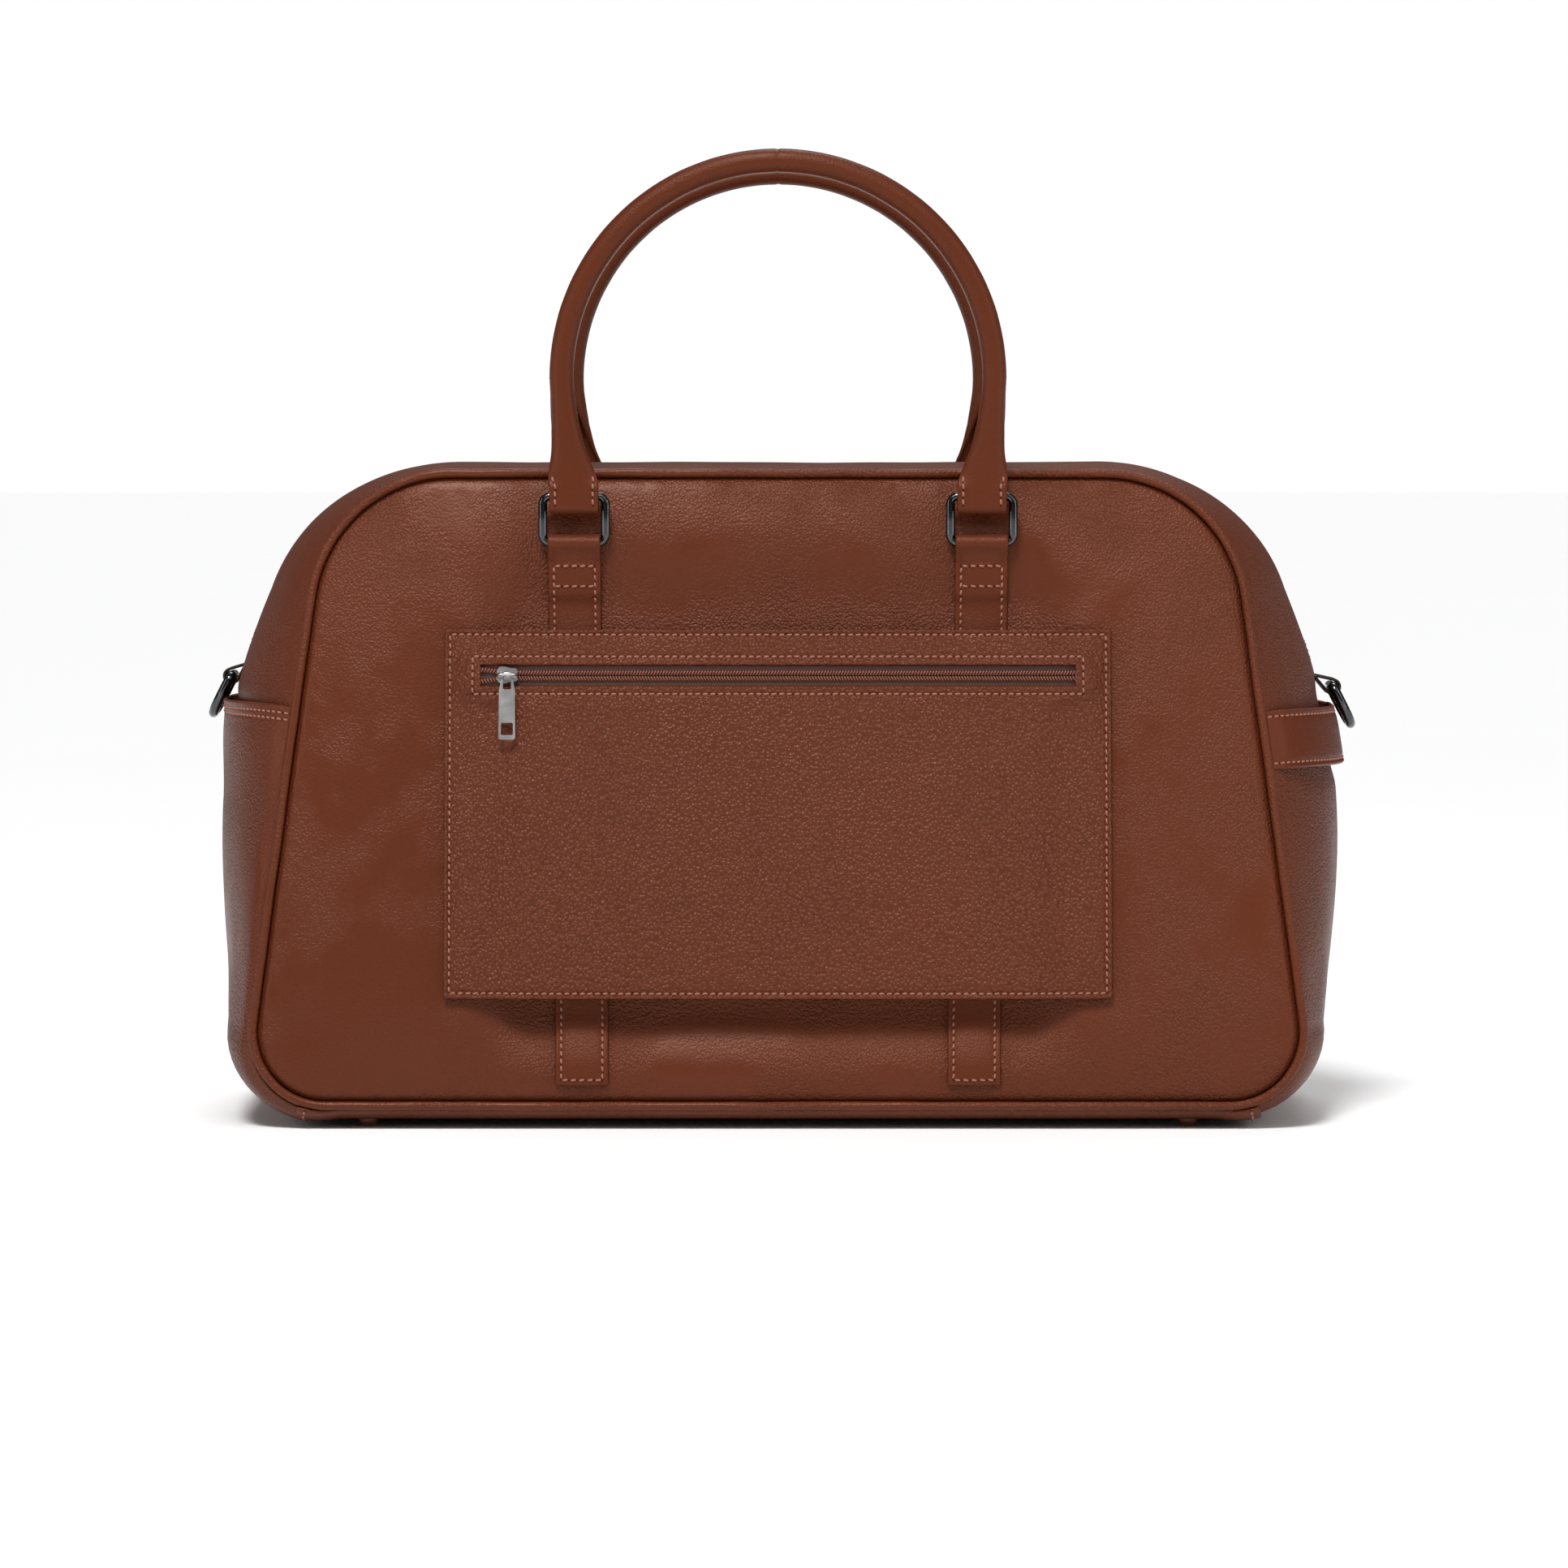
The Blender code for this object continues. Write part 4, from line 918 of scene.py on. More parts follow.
def ring(label, side, end, sign):
    """A glossy rounded ring."""
    half = RING_WIDTH / 2 - RING_CORNER
    low, high = RING_CORNER, RING_HEIGHT - RING_CORNER
    outline = [point for x, z, start, end in ((half, high, 90, 0), (half, low, 0, -90),
                                              (-half, low, -90, -180), (-half, high, 180, 90))
               for point in arc((x, z), RING_CORNER, start, end, 10)]
    points = [(sign * STRAP_TOP_X + x, bar_y(side), RING_BAR_Z + z) for x, z in outline]
    radii = [RING_WIRE - 0.0003 * (1 - ease(min(z, RING_HEIGHT - z), 0.0015, 0.0045))
             for _, z in outline]
    tube(f"ring_{label}_{end}_wire", points, radii, "gunmetal", f"ring_{label}_{end}",
         f"ring_{label}_{end}", True, 20)


def handle(label, side):
    """A handle rolled from one strip, with flat stitched tabs folded round two rings."""
    bar = Vector((0, bar_y(side), RING_BAR_Z + RING_HEIGHT))
    arc_z = HANDLE_ARC_Z - bar.z
    loop, drop, flat_top, rolled_z = 0.00335, 0.0047, 0.0048, 0.0518
    # The strip curls early and then slowly: a power, softened at its start
    power, soft = 0.42, 0.02

    def leg_x(z):
        rise = min(max((z - flat_top) / (arc_z - flat_top), 0.0), 1.0)
        return STRAP_TOP_X + (HANDLE_SPAN - STRAP_TOP_X) * (1 - (1 - rise) ** 1.4)

    ends = (loop - HANDLE_LEATHER - 0.0003, flat_top)
    leave = tangent_angle(ends, (0, 0), loop, 1)
    path = [ends] + arc((0, 0), loop, leave, 180, 6)
    path += arc((0, -drop), loop, 180, 360, 18)
    path += [(loop, z) for z in (-0.0035, -0.0022, -0.0008, 0.0008, 0.0022, 0.0036)]
    path.append((loop, flat_top))
    rows = [(Vector((-leg_x(z), side * out, z)), Vector((1, 0, 0)), 0.0, 1.0) for out, z in path]
    for roll in spread(0, 1, 26)[1:]:
        z = flat_top + (rolled_z - flat_top) * roll
        eased = (((roll + soft) ** power - soft ** power)
                 / ((1 + soft) ** power - soft ** power))
        rows.append((Vector((-leg_x(z), side * loop, z)), Vector((1, 0, 0)), eased,
                     0.55 + 0.45 * ease(roll, 0.35, 0.95)))
    for z in spread(rolled_z, arc_z, 8)[1:-1]:
        rows.append((Vector((-leg_x(z), side * loop, z)), Vector((1, 0, 0)), 1.0, 1.0))
    for angle in spread(180, 90.9, 44) + [90.55, 90.3, 90.1, 90]:
        turn = math.radians(angle)
        outward = Vector((math.cos(turn), 0, math.sin(turn)))
        rows.append((outward * HANDLE_SPAN + Vector((0, side * loop, arc_z)), -outward, 1.0, 1.0))

    fractions = [f / STRAP_WIDTH for f in edged(-0.5 * STRAP_WIDTH, 0.5 * STRAP_WIDTH, 0.0011)]
    half = []
    for k, (middle, across, roll, roundness) in enumerate(rows):
        left = len(rows) - 1 - k
        lap = {0: 0.00028, 1: 0.00028, 2: 0.00022, 3: 0.00008}.get(left, 0.0)
        width = TAB_WIDTH + (HANDLE_ROLL * HANDLE_CURL - TAB_WIDTH) * roll
        curl = HANDLE_CURL * roll
        line = []
        for f in fractions:
            if curl > 1e-6:
                radius = width / curl
                wave = 0.00012 * noise.noise(Vector((k * 0.35, f * 3, side * 4.0)))
                radius += roll * (wave - lap)
                along = radius * math.sin(f * curl)
                inward = width / curl - radius * math.cos(f * curl)
            else:
                along, inward = f * width, 0.0
            line.append(middle + across * along - Vector((0, side * inward * roundness, 0)))
        half.append(line)
    right = [[Vector((-p.x, p.y, p.z)) for p in line] for line in reversed(half[:-1])]
    grid = [[point + bar for point in line] for line in half + right]
    piece, _, normal = sheet(f"handle_{label}_leather", grid, HANDLE_LEATHER,
                             "leather_smooth", f"handle_{label}", f"handle_{label}")

    flat_row, top_row = len(path) - 8, len(path) + 3
    inward = normal[len(path), 10] @ np.array((0, side, 0)) < 0
    facing = -normal if inward else normal
    face = np.array([[tuple(p) for p in line] for line in grid]) + facing * HANDLE_LEATHER / 2
    edge = 0.5 - INSET / STRAP_WIDTH
    columns = [k for k, f in enumerate(fractions) if abs(abs(f) - edge) < 1e-6]
    lines = []
    for c in columns:
        lines.append(inner_line(face, facing, column=c, span=(flat_row, top_row)))
        lines.append(inner_line(face[::-1], facing[::-1], column=c, span=(flat_row, top_row)))
    stitches(f"thread_handle_{label}", lines, slant=6, body=f"handle_{label}")


# ---------------------------------------------------------------- zips

def zip_frame(place, tilt):
    """A zip's frame as a matrix: X along it, Z out of it."""
    return Matrix.Translation(place) @ Matrix.Rotation(tilt, 4, "X")


def slider(name, place, chain_top, reach, look, flip, post=False):
    """A slider: a shield-shaped plate over a lower one, with an arched bridge or a headed post."""
    over = chain_top + 0.0003
    wide, narrow = reach * 0.42, reach * 0.34
    outline = [(-reach / 2, wide * 0.55), (-reach / 2 + 0.0012, wide), (-reach * 0.12, wide),
               (reach * 0.16, narrow), (reach / 2 - 0.0008, narrow), (reach / 2, narrow * 0.7),
               (reach / 2, -narrow * 0.7), (reach / 2 - 0.0008, -narrow), (reach * 0.16, -narrow),
               (-reach * 0.12, -wide), (-reach / 2 + 0.0012, -wide), (-reach / 2, -wide * 0.55)]
    outline = [(flip * x, y) for x, y in outline]
    prism(name + "_plate", [outline], over, over + 0.0013, look, name, name, 0.0003, place)
    lower = [(x, y * 0.98) for x, y in outline]
    prism(name + "_under", [lower], -0.0022, -0.0011, look, name, "", 0.0002, place)
    blade = [(flip * x, y) for x, y in ((-reach * 0.42, 0.0), (-reach * 0.2, 0.0011),
                                        (-reach * 0.02, 0.0), (-reach * 0.2, -0.0011))]
    prism(name + "_throat", [blade], -0.0012, over + 0.0002, look, name, "", 0.0, place)
    top = over + 0.0013
    if post:
        points = [place @ Vector((0, 0, top + z))
                  for z in (-0.0004, 0.0017, 0.0019, 0.0024, 0.0027)]
        tube(name + "_post", points, [0.0008, 0.0008, 0.0018, 0.0018, 0.0013], look, name)
        return top
    points = []
    for k in range(17):
        t = k / 16 * math.pi
        points.append(place @ Vector((-0.42 * reach * math.cos(t) * flip, 0.0,
                                      top - 0.0004 + 0.0041 * math.sin(t) ** 0.7)))
    radii = [0.00105 - 0.00015 * abs(k - 8) / 8 for k in range(17)]
    tube(name + "_bridge", points, radii, look, name, sides=12)
    return top


def puller(name, place, length, width, look, post=False):
    """A flat puller with a window for the slider's bridge or post, and a square one at its end."""
    half = width / 2
    top, shoulder, low = 0.0022, -0.0076, -length
    outline = [(-half * 0.66, top - 0.0010), (-half * 0.50, top), (half * 0.50, top),
               (half * 0.66, top - 0.0010), (half * 0.76, -0.0040), (half * 0.92, shoulder),
               (half * 0.96, low + 0.0012), (half * 0.86, low), (-half * 0.86, low),
               (-half * 0.96, low + 0.0012), (-half * 0.92, shoulder), (-half * 0.76, -0.0040)]
    inner = [(-half * 0.42, 0.0008), (-half * 0.48, -0.0064), (-half * 0.38, -0.0070),
             (half * 0.38, -0.0070), (half * 0.48, -0.0064), (half * 0.42, 0.0008)]
    if post:
        inner = arc((0, 0), 0.0011, 0, 340, 17)
        outline[:4] = arc((0, 0), 0.0026, 170, 10, 12)
    w = half * 0.70
    square = [(-w, low + 0.0024), (-w, low + 0.0024 + 2 * w), (w, low + 0.0024 + 2 * w),
              (w, low + 0.0024)]
    prism(name + "_plate", [outline, inner, square], 0.0, 0.0012, look, name, name, 0.00028,
          place)


def coils(name, path, up, gap, width, rise, node, pitch, side):
    """One row of a zip's coil: slanted turns, which lie on the darker tape that woven_tape builds.
    """
    turn = bead(width * 1.12, pitch * 0.34, rise * 0.16, 6, 1.15)
    places = []
    for m in resample(path, up, pitch):
        there = shifted(m, y=side * (gap + width / 2), z=rise * 0.62)
        places.append(turned(there, side * math.radians(62)))
    copies(name, turn, places, "zip_coil", "bag", node)


def woven_tape(name, path, up, near, far, side, node):
    """One side of a zip's tape, with a ridge beside the coils."""
    path, up = np.asarray(path), unit(np.asarray(up, float))
    ahead = unit(np.gradient(path, axis=0))
    across = np.cross(up, ahead) * side
    stations = [near, near + 0.0012, near + 0.0034, near + 0.0042, near + 0.0050, far]
    raised = [0.0, 0.0, 0.0, 0.00035, 0.0, 0.0]
    rows = [[path[k] + across[k] * y + up[k] * r for y, r in zip(stations, raised)]
            for k in range(len(path))]
    middle = path.mean(axis=0) - up[len(path) // 2] * 0.5
    piece, _, _ = sheet(name, rows, 0.0006, "zip_tape", "bag", node, Vector(middle))
    length = float(np.linalg.norm(np.diff(path, axis=0), axis=1).sum())


def main_zip():
    """The main zip, closed, with its sliders head to head in the middle of the top."""
    half = spread(0, TOP_RUN, 30) + top_curve(34)
    half += spread(SIDE_START, ZIP_REACH + 0.006, 8)[1:]
    stations = mirrored(half)
    path, up = [], []
    for distance in stations:
        x, z, nx, nz = seam(distance)
        out = swell(z) - GROOVE_DEPTH - 0.0001
        path.append((x + nx * out, 0.0, z + nz * out))
        up.append((nx, 0, nz))
    for label, side in (("front", 1), ("back", -1)):
        woven_tape(f"main_tape_{label}", path, up, 0.0002, 0.0125, side,
                   f"main_zip_tape_{label}")
        coils(f"main_coils_{label}", path, up, 0.0001, 0.0034, 0.0022,
              f"main_zip_coils_{label}", 0.0017, side)
    level = PANEL_TOP + TOP_SWELL - GROOVE_DEPTH - 0.0001
    for label, sign in ENDS:
        place = Matrix.Translation((sign * 0.0085, 0, level))
        top = slider(f"main_slider_{label}", place, 0.0025, 0.0125, "gunmetal", -sign, True)
        turn = Matrix.Translation((sign * 0.0085, 0, level + top + 0.0005))
        turn = turn @ Matrix.Rotation(sign * math.pi / 2, 4, "Z")
        puller(f"main_puller_{label}", turn, 0.027, 0.008, "gunmetal", True)


# ---------------------------------------------------------------- trolley sleeve and its pocket

def sleeve_out(x, z):
    """From the mid-plane to the sleeve's outer face, which is sewn down at its sides."""
    flat = panel_out(0, z) + SLEEVE_STAND
    by_zip = math.exp(-(((z - POCKET_ZIP_Z) / 0.013) ** 4))
    sewn = ease(abs(x), 0.124 + 0.026 * by_zip, 0.164)
    down = min(skin(x, z, -1) + SLEEVE_LEATHER + 0.0020, flat)
    return flat + (down - flat) * sewn


def sleeve_face(x, z):
    """The same with the waves, seams and thin edges of soft leather."""
    slot = max(abs(z - POCKET_ZIP_Z) - POCKET_SLOT / 2, abs(x) - POCKET_ZIP_HALF)
    gap = min(SLEEVE_HALF - abs(x), z - SLEEVE_BOTTOM, SLEEVE_TOP - z)
    soft = ease(gap, 0.004, 0.030) * ease(abs(z - POCKET_ZIP_Z), 0.008, 0.030)
    out = sleeve_out(x, z)
    out += soft * 0.0009 * noise.noise(Vector((x * 11, z * 13, 9.7)))
    out += soft * 0.0003 * noise.noise(Vector((x * 34, z * 40, 1.9)))
    out += 0.0007 * math.exp(-(((gap - 0.0008) / 0.0009) ** 2))
    out -= channel(gap) + channel(slot - 0.0012) * 1.1
    out += 0.00018 * math.sin(x * 2 * math.pi / 0.017) * (1 - ease(gap, 0.003, 0.011))
    return out


def trolley_sleeve():
    """The sleeve with a slot for its pocket's zip, its turned side edges, and the backing."""
    low, high = POCKET_ZIP_Z - POCKET_SLOT / 2, POCKET_ZIP_Z + POCKET_SLOT / 2
    by = (0.0004, 0.0012, 0.0024, 0.0030, 0.0036, 0.0042, 0.0052)
    wide = spread(0, POCKET_ZIP_HALF - 0.002, 66) + [POCKET_ZIP_HALF]
    wide += [POCKET_ZIP_HALF + v for v in by]
    wide += [0.1545, 0.1565] + [SLEEVE_HALF - v for v in (0.0062, 0.0045, 0.0037, 0.0029, 0.0024,
                                                           0.0019, 0.0012, 0.0004, 0.0)]
    wide = sorted(wide)
    columns = mirrored(wide)
    edge = (0.0, 0.0004, 0.0012, 0.0019, 0.0024, 0.0029, 0.0037, 0.0052)
    levels = [SLEEVE_BOTTOM + v for v in edge]
    levels += spread(SLEEVE_BOTTOM + 0.008, low - 0.008, 54)
    levels += [low - v for v in reversed(by)] + [low, high] + [high + v for v in by]
    levels += [0.2370, 0.2385, 0.2400] + [SLEEVE_TOP - v for v in reversed(edge)]
    rows = [[(x, -sleeve_face(x, z), z) for x in columns] for z in levels]
    row = levels.index(low)
    inside = [j for j, x in enumerate(columns[:-1])
              if x >= -POCKET_ZIP_HALF - 1e-9 and columns[j + 1] <= POCKET_ZIP_HALF + 1e-9]
    piece, outer, normal = sheet("sleeve_leather", rows, SLEEVE_LEATHER, "leather_pebbled", "bag",
                                 "trolley_sleeve", MIDDLE, {(row, j) for j in inside})

    def nearest(values, value):
        return min(range(len(values)), key=lambda k: abs(values[k] - value))

    left, right = (nearest(columns, s * (SLEEVE_HALF - INSET)) for s in (-1, 1))
    under, above = nearest(levels, SLEEVE_BOTTOM + INSET), nearest(levels, SLEEVE_TOP - INSET)
    lines = [inner_line(outer, normal, column=c, span=(under, above + 1)) for c in (left, right)]
    lines += [inner_line(outer, normal, row=k, span=(left, right + 1)) for k in (under, above)]
    stitches("thread_sleeve", lines, slant=7)

    beside = 0.0036
    z_low, z_high = nearest(levels, low - beside), nearest(levels, high + beside)
    x_low, x_high = (nearest(columns, s * (POCKET_ZIP_HALF + beside)) for s in (-1, 1))
    lines = [inner_line(outer, normal, row=k, span=(x_low, x_high + 1)) for k in (z_low, z_high)]
    lines += [inner_line(outer, normal, column=c, span=(z_low, z_high + 1))
              for c in (x_low, x_high)]
    stitches("thread_pocket_zip", lines, slant=7)

    for label, sign in ENDS:
        rows = [[(sign * x, SLEEVE_LEATHER + 0.0001 - sleeve_face(sign * x, z), z)
                 for x in spread(0.1520, SLEEVE_HALF - 0.0004, 12)]
                for z in spread(SLEEVE_BOTTOM + 0.0005, SLEEVE_TOP - 0.0005, 90)]
        piece, _, _ = sheet(f"sleeve_hem_{label}", rows, 0.0015, "leather_pebbled", "bag", "",
                            MIDDLE)

    sunk = SLEEVE_LEATHER + POCKET_GAP
    rows = [[(x, sunk - panel_out(0, z) - SLEEVE_STAND, z) for x in spread(-0.149, 0.149, 30)]
            for z in spread(SLEEVE_BOTTOM + 0.002, SLEEVE_TOP - 0.002, 24)]
    piece, _, _ = sheet("pocket_backing_cloth", rows, 0.0008, "lining", "bag", "pocket_backing",
                        MIDDLE)


def pocket_zip():
    """The pocket's zip: a short open stretch to the left of its slider, closed from there on."""
    step = 0.004

    def plain(z):
        return panel_out(0, z) + SLEEVE_STAND

    drop = (plain(POCKET_ZIP_Z - step) - plain(POCKET_ZIP_Z + step)) / (2 * step)
    slope = math.atan(drop)
    place = Vector((0, -plain(POCKET_ZIP_Z), POCKET_ZIP_Z))
    place += Vector((0, math.cos(slope), -math.sin(slope))) * (SLEEVE_LEATHER + 0.0003)
    place = zip_frame(place, math.pi / 2 - slope)
    reach = POCKET_ZIP_HALF + 0.001
    up = np.array(place.to_3x3() @ Vector((0, 0, 1)))
    stations = spread(-reach, POCKET_SLIDER_X, 10) + spread(POCKET_SLIDER_X, reach, 60)[1:]
    for label, side in (("upper", 1), ("lower", -1)):
        line = []
        for x in stations:
            open_gap = 0.0016 * (1 - ease(x, -reach, POCKET_SLIDER_X + 0.002))
            line.append(tuple(place @ Vector((x, side * open_gap, 0.0003))))
        ups = np.tile(up, (len(line), 1))
        coils(f"pocket_coils_{label}", line, ups, 0.0001, 0.0025, 0.0018,
              f"pocket_zip_coils_{label}", 0.00145, side)
        flat = [tuple(place @ Vector((x, 0, 0))) for x in (stations[0], 0.0, stations[-1])]
        woven_tape(f"pocket_tape_{label}", flat, np.tile(up, (3, 1)), 0.0002, 0.0107, side,
                   f"pocket_zip_tape_{label}")
    there = place @ Matrix.Translation((POCKET_SLIDER_X, 0, 0))
    top = slider("pocket_slider", there, 0.0021, 0.0100, "puller_metal", 1)
    hang = there @ Matrix.Translation((0, -0.0004, top + 0.0005))
    puller("pocket_puller", hang, 0.0322, 0.0086, "puller_metal")


# ---------------------------------------------------------------- ends of the bag

def end_across(steps):
    """Stations from -1 to 1 across an end piece, closer together at its two edges."""
    return [math.sin(math.pi / 2 * value) for value in spread(-1, 1, steps)]


def tucked(w):
    """How much of its stand an end piece keeps: less where it goes into the seams."""
    return 1 - 0.65 * ease(abs(w), 0.95, 1.0)


def side_pocket():
    """The open slip pocket over the left gusset, with a doubled row of stitches at its mouth."""
    mouth = side_distance(MOUTH_Z)
    end = HALF_LENGTH - BASE_REACH
    near = (0.0, 0.0004, 0.0011, 0.0020, 0.0030, 0.0038, 0.0050, 0.0062, 0.0075)
    stations = [mouth + v for v in near] + spread(mouth + 0.010, end, 60)
    across = end_across(44)
    rows = []
    for distance in stations:
        z = seam(distance)[1]
        room = MOUTH_STAND * ease(z, 0.155, MOUTH_Z)
        gap = distance - mouth
        pinch = 0.00030 * (math.exp(-(((gap - 0.0030) / 0.0008) ** 2))
                           + math.exp(-(((gap - 0.0062) / 0.0008) ** 2)))
        line = []
        for w in across:
            drop = 0.0023 * (1 - w * w) * ease(z, 0.150, MOUTH_Z)
            stand = 0.0009 + room * (1 - min(abs(w), 1.0) ** 4)
            soft = 0.0006 * noise.noise(Vector((distance * 14, w * 2.4, 6.3)))
            soft *= (1 - w * w) * ease(gap, 0.004, 0.03)
            tuck = tucked(w)
            line.append(off_gusset(-distance - drop, 1.010 * w,
                                   (END_LEATHER + stand + max(soft, -0.0004) - pinch) * tuck))
        rows.append(line)
    piece, outer, normal = sheet("side_pocket_leather", rows, END_LEATHER, "leather", "bag",
                                 "side_pocket", MIDDLE)
    stitches("thread_side_pocket", [inner_line(outer, normal, row=k) for k in (4, 7)], slant=-5)


def keeper_band():
    """The flat band across the right gusset."""
    top = side_distance(BAND_TOP_Z)
    stations = edged(top, top + BAND_HEIGHT, 0.0024)
    across = end_across(40)
    rows = []
    for distance in stations:
        gap = min(distance - top, top + BAND_HEIGHT - distance)
        line = []
        for w in across:
            stand = 0.0006 + BAND_STAND * (1 - min(abs(w), 1.0) ** 4)
            droop = 0.006 * (1 - w * w)
            tuck = tucked(w)
            line.append(off_gusset(distance + droop, 1.010 * w,
                                   (END_LEATHER + stand - channel(gap)) * tuck))
        rows.append(line)
    piece, outer, normal = sheet("keeper_band_leather", rows, END_LEATHER, "leather_smooth",
                                 "bag", "keeper_band", MIDDLE)
    rows_in = [k for k, d in enumerate(stations)
               if abs(min(d - top, top + BAND_HEIGHT - d) - INSET) < 1e-6]
    stitches("thread_keeper_band", [inner_line(outer, normal, row=k) for k in rows_in], slant=5)


def d_ring_tab(label, sign):
    """The tab folded round a D-ring's bar and sewn over the end of the main zip."""
    bar = D_BARS[label]
    thickness, half_width_y, over, under = 0.0014, 0.0104, -0.0017, -0.0033
    distance = side_distance(bar.z)
    x, z, nx, nz = seam(distance)
    level = swell(z)
    outward = Vector((nx, 0, nz))
    down = Vector((nz, 0, -nx))
    offset = Vector((abs(bar.x) - x, 0, bar.z - z))
    centre = (offset.dot(outward) - level, offset.dot(down))
    radius = D_WIRE + 0.0004 + thickness / 2
    front, back = (over, centre[1] - 0.0078), (under, centre[1] - 0.0078)
    start = tangent_angle(front, centre, radius, -1)
    finish = tangent_angle(back, centre, radius, 1)
    finish = finish - 360 if finish > start else finish
    low = centre[1] - 0.027
    path = [(over, low + v) for v in (0.0, 0.0005, 0.0012, 0.0024, 0.0036, 0.0060, 0.0085,
                                      0.0109, 0.0121, 0.0150, 0.0172)] + [front]
    path += arc(centre, radius, start, finish, 22) + [back]
    path += [(under, v) for v in spread(centre[1] - 0.0078, low, 5)[1:]]
    widths = edged(-half_width_y, half_width_y, 0.0016)
    rows = []
    for out, along in path:
        point = Vector((x, 0, z)) + outward * (level + out) + down * along
        px, pz, mx, mz = seam(distance + along)
        laid = Vector((px, 0, pz)) + Vector((mx, 0, mz)) * (swell(pz) + out)
        point = point.lerp(laid, ease(centre[1] - along, 0.002, 0.008))
        rows.append([(sign * point.x, y, point.z) for y in widths])
    piece, _, normal = sheet(f"d_tab_{label}_leather", rows, thickness, "leather_black", "bag",
                             f"d_ring_tab_{label}")
    facing = normal * np.sign(normal[2, 5] @ np.array((sign * outward.x, 0, outward.z)))
    face = np.array(rows) + facing * thickness / 2
    columns = [k for k, w in enumerate(widths) if abs(abs(w) - (half_width_y - INSET)) < 1e-6]
    lines = [inner_line(face, facing, column=c, span=(3, 9)) for c in columns]
    lines += [inner_line(face, facing, row=k, span=(columns[0], columns[1] + 1)) for k in (3, 8)]
    stitches(f"thread_d_tab_{label}", lines, pitch=0.0032, slant=4)


def d_ring(label, sign):
    """A glossy D-ring on its bar."""
    outline = (arc((D_HALF - D_CORNER, D_CORNER), D_CORNER, -90, 0, 8)
               + arc((0, D_LEG), D_HALF, 0, 180, 36)
               + arc((D_CORNER - D_HALF, D_CORNER), D_CORNER, 180, 270, 8))
    hang = Vector((sign * math.sin(D_LEAN), 0, -math.cos(D_LEAN)))
    points = [D_BARS[label] + Vector((0, y, 0)) + hang * drop for y, drop in outline]
    tube(f"d_ring_{label}_wire", points, D_WIRE, "gunmetal", f"d_ring_{label}",
         f"d_ring_{label}", True, 20)


# ---------------------------------------------------------------- the whole bag

for part, part_side in PANELS:
    piping(part, part_side)
    body_panel(part, part_side)
    top_strip(part, part_side)
    for part_end, part_sign in ENDS:
        strap(part, part_side, part_end, part_sign)
        ring(part, part_side, part_end, part_sign)
    handle(part, part_side)
for part_end, part_sign in ENDS:
    side_gusset(part_end, part_sign)
base()
feet()
main_zip()
trolley_sleeve()
pocket_zip()
side_pocket()
keeper_band()
for part_end, part_sign in ENDS:
    d_ring_tab(part_end, part_sign)
    d_ring(part_end, part_sign)

for node, look in (("lining_back", "lining"), ("lining_front", "lining"),
                   ("lining_sides", "lining"), ("base_board", "board"),
                   ("handle_core_back", "handle_core"), ("handle_core_front", "handle_core")):
    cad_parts[node].material_slots[0].material = LOOKS[look]


# ---------------------------------------------------------------- floor, light and camera

def floor():
    """A wide pale floor."""
    mesh = bpy.data.meshes.new("floor")
    size = 30.0  # half its width
    mesh.from_pydata([(-size, -size, 0), (size, -size, 0), (size, size, 0), (-size, size, 0)],
                     [], [(0, 1, 2, 3)])
    piece = bpy.data.objects.new("floor", mesh)
    bpy.context.scene.collection.objects.link(piece)
    look = Look("floor", Roughness=0.75)
    look.colour(look.mix(look.noise(2.0), (0.94, 0.94, 0.94), (0.96, 0.96, 0.96)))
    mesh.materials.append(look.material)


def lamp(name, place, aim, size, power):
    """A soft rectangular light."""
    light = bpy.data.lights.new(name, "AREA")
    light.shape = "RECTANGLE"
    light.size, light.size_y = size
    light.energy = power
    holder = bpy.data.objects.new(name, light)
    bpy.context.scene.collection.objects.link(holder)
    holder.location = place
    holder.rotation_euler = (Vector(aim) - Vector(place)).to_track_quat("-Z", "Y").to_euler()


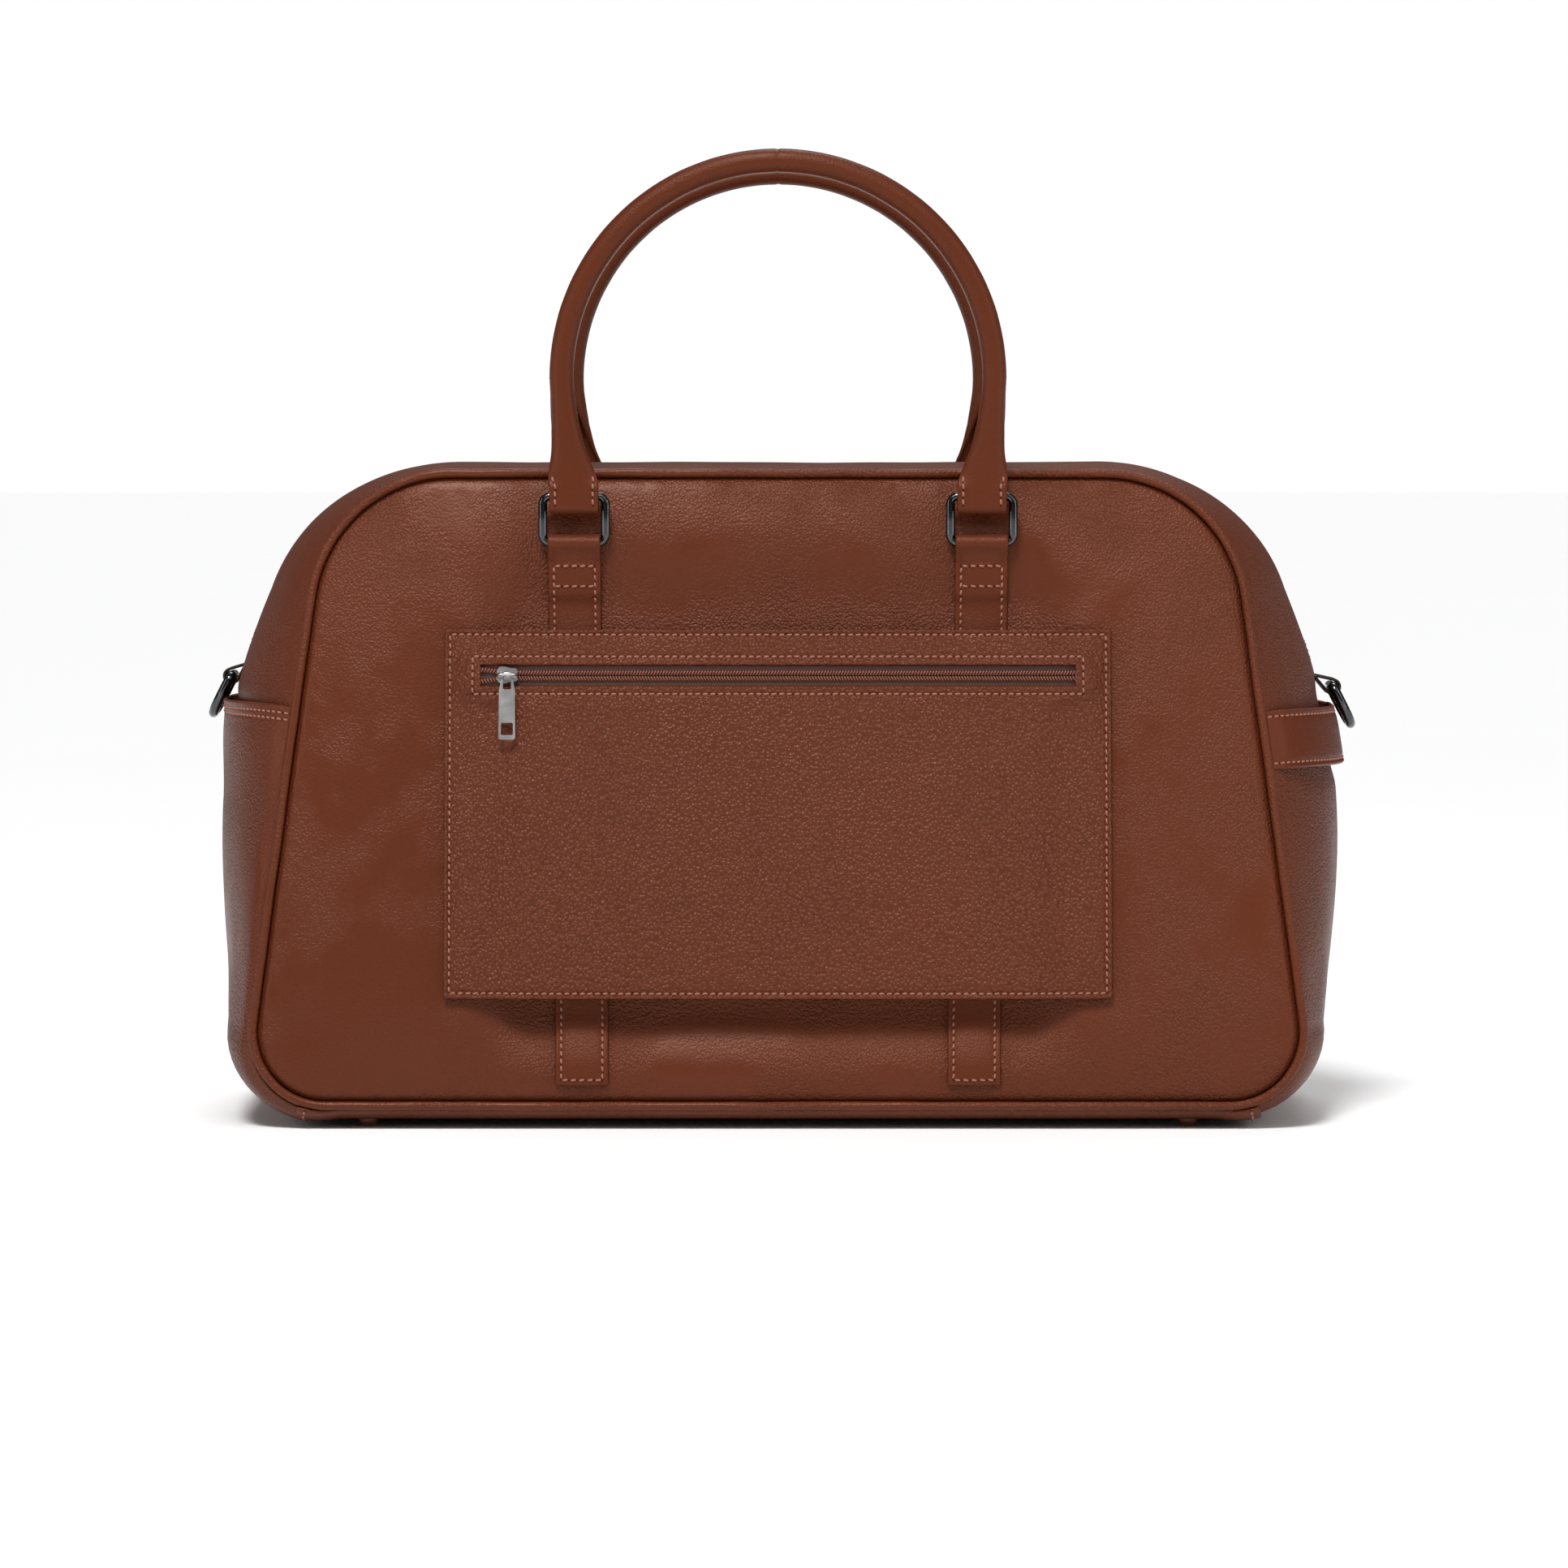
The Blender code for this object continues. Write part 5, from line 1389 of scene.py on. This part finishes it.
def sun(name, azimuth, elevation, angle, strength):
    """A broad, distant light; azimuth 0 is in front of the back panel and 90 is to its right."""
    light = bpy.data.lights.new(name, "SUN")
    light.energy, light.angle = strength, math.radians(angle)
    holder = bpy.data.objects.new(name, light)
    bpy.context.scene.collection.objects.link(holder)
    turn, rise = math.radians(azimuth), math.radians(elevation)
    toward = Vector((math.sin(turn) * math.cos(rise), -math.cos(turn) * math.cos(rise),
                     math.sin(rise)))
    holder.rotation_euler = toward.to_track_quat("Z", "Y").to_euler()


def studio():
    """A white surround as the camera sees it, and a dimmer one as the bag does."""
    world = bpy.data.worlds.new("studio")
    bpy.context.scene.world = world
    world.use_nodes = True
    tree = world.node_tree
    seen = tree.nodes["Background"]
    seen.inputs["Color"].default_value = (1, 1, 1, 1)
    seen.inputs["Strength"].default_value = 1.0
    felt = tree.nodes.new("ShaderNodeBackground")
    felt.inputs["Color"].default_value = (1, 1, 1, 1)
    felt.inputs["Strength"].default_value = 0.14
    path = tree.nodes.new("ShaderNodeLightPath")
    blend = tree.nodes.new("ShaderNodeMixShader")
    tree.links.new(path.outputs["Is Camera Ray"], blend.inputs[0])
    tree.links.new(felt.outputs[0], blend.inputs[1])
    tree.links.new(seen.outputs[0], blend.inputs[2])
    tree.links.new(blend.outputs[0], tree.nodes["World Output"].inputs["Surface"])


floor()
studio()
sun("key", -14, 57, 14, 2.2)
sun("fill", 40, 38, 40, 0.45)
sun("rear", 170, 60, 30, 0.95)
lamp("softbox", (-0.25, -1.15, 1.35), (0, -0.1, 0.2), (1.1, 0.5), 9)
lamp("strip_left", (-1.9, -1.0, 0.7), (0, 0, 0.22), (0.16, 1.5), 8)
lamp("strip_right", (1.9, -0.9, 0.7), (0, 0, 0.22), (0.16, 1.5), 8)

CAMERA_BACK = 3.62
camera_data = bpy.data.cameras.new("camera")
camera_data.sensor_width = 36.0
camera_data.lens = 163.0
camera = bpy.data.objects.new("camera", camera_data)
bpy.context.scene.collection.objects.link(camera)
camera.location = (0.003, -CAMERA_BACK, 0.352)
aim = Vector((0.003, -0.12, 0.1716))
camera.rotation_euler = (aim - camera.location).to_track_quat("-Z", "Y").to_euler()
bpy.context.scene.camera = camera
bpy.context.scene.view_settings.view_transform = "Standard"
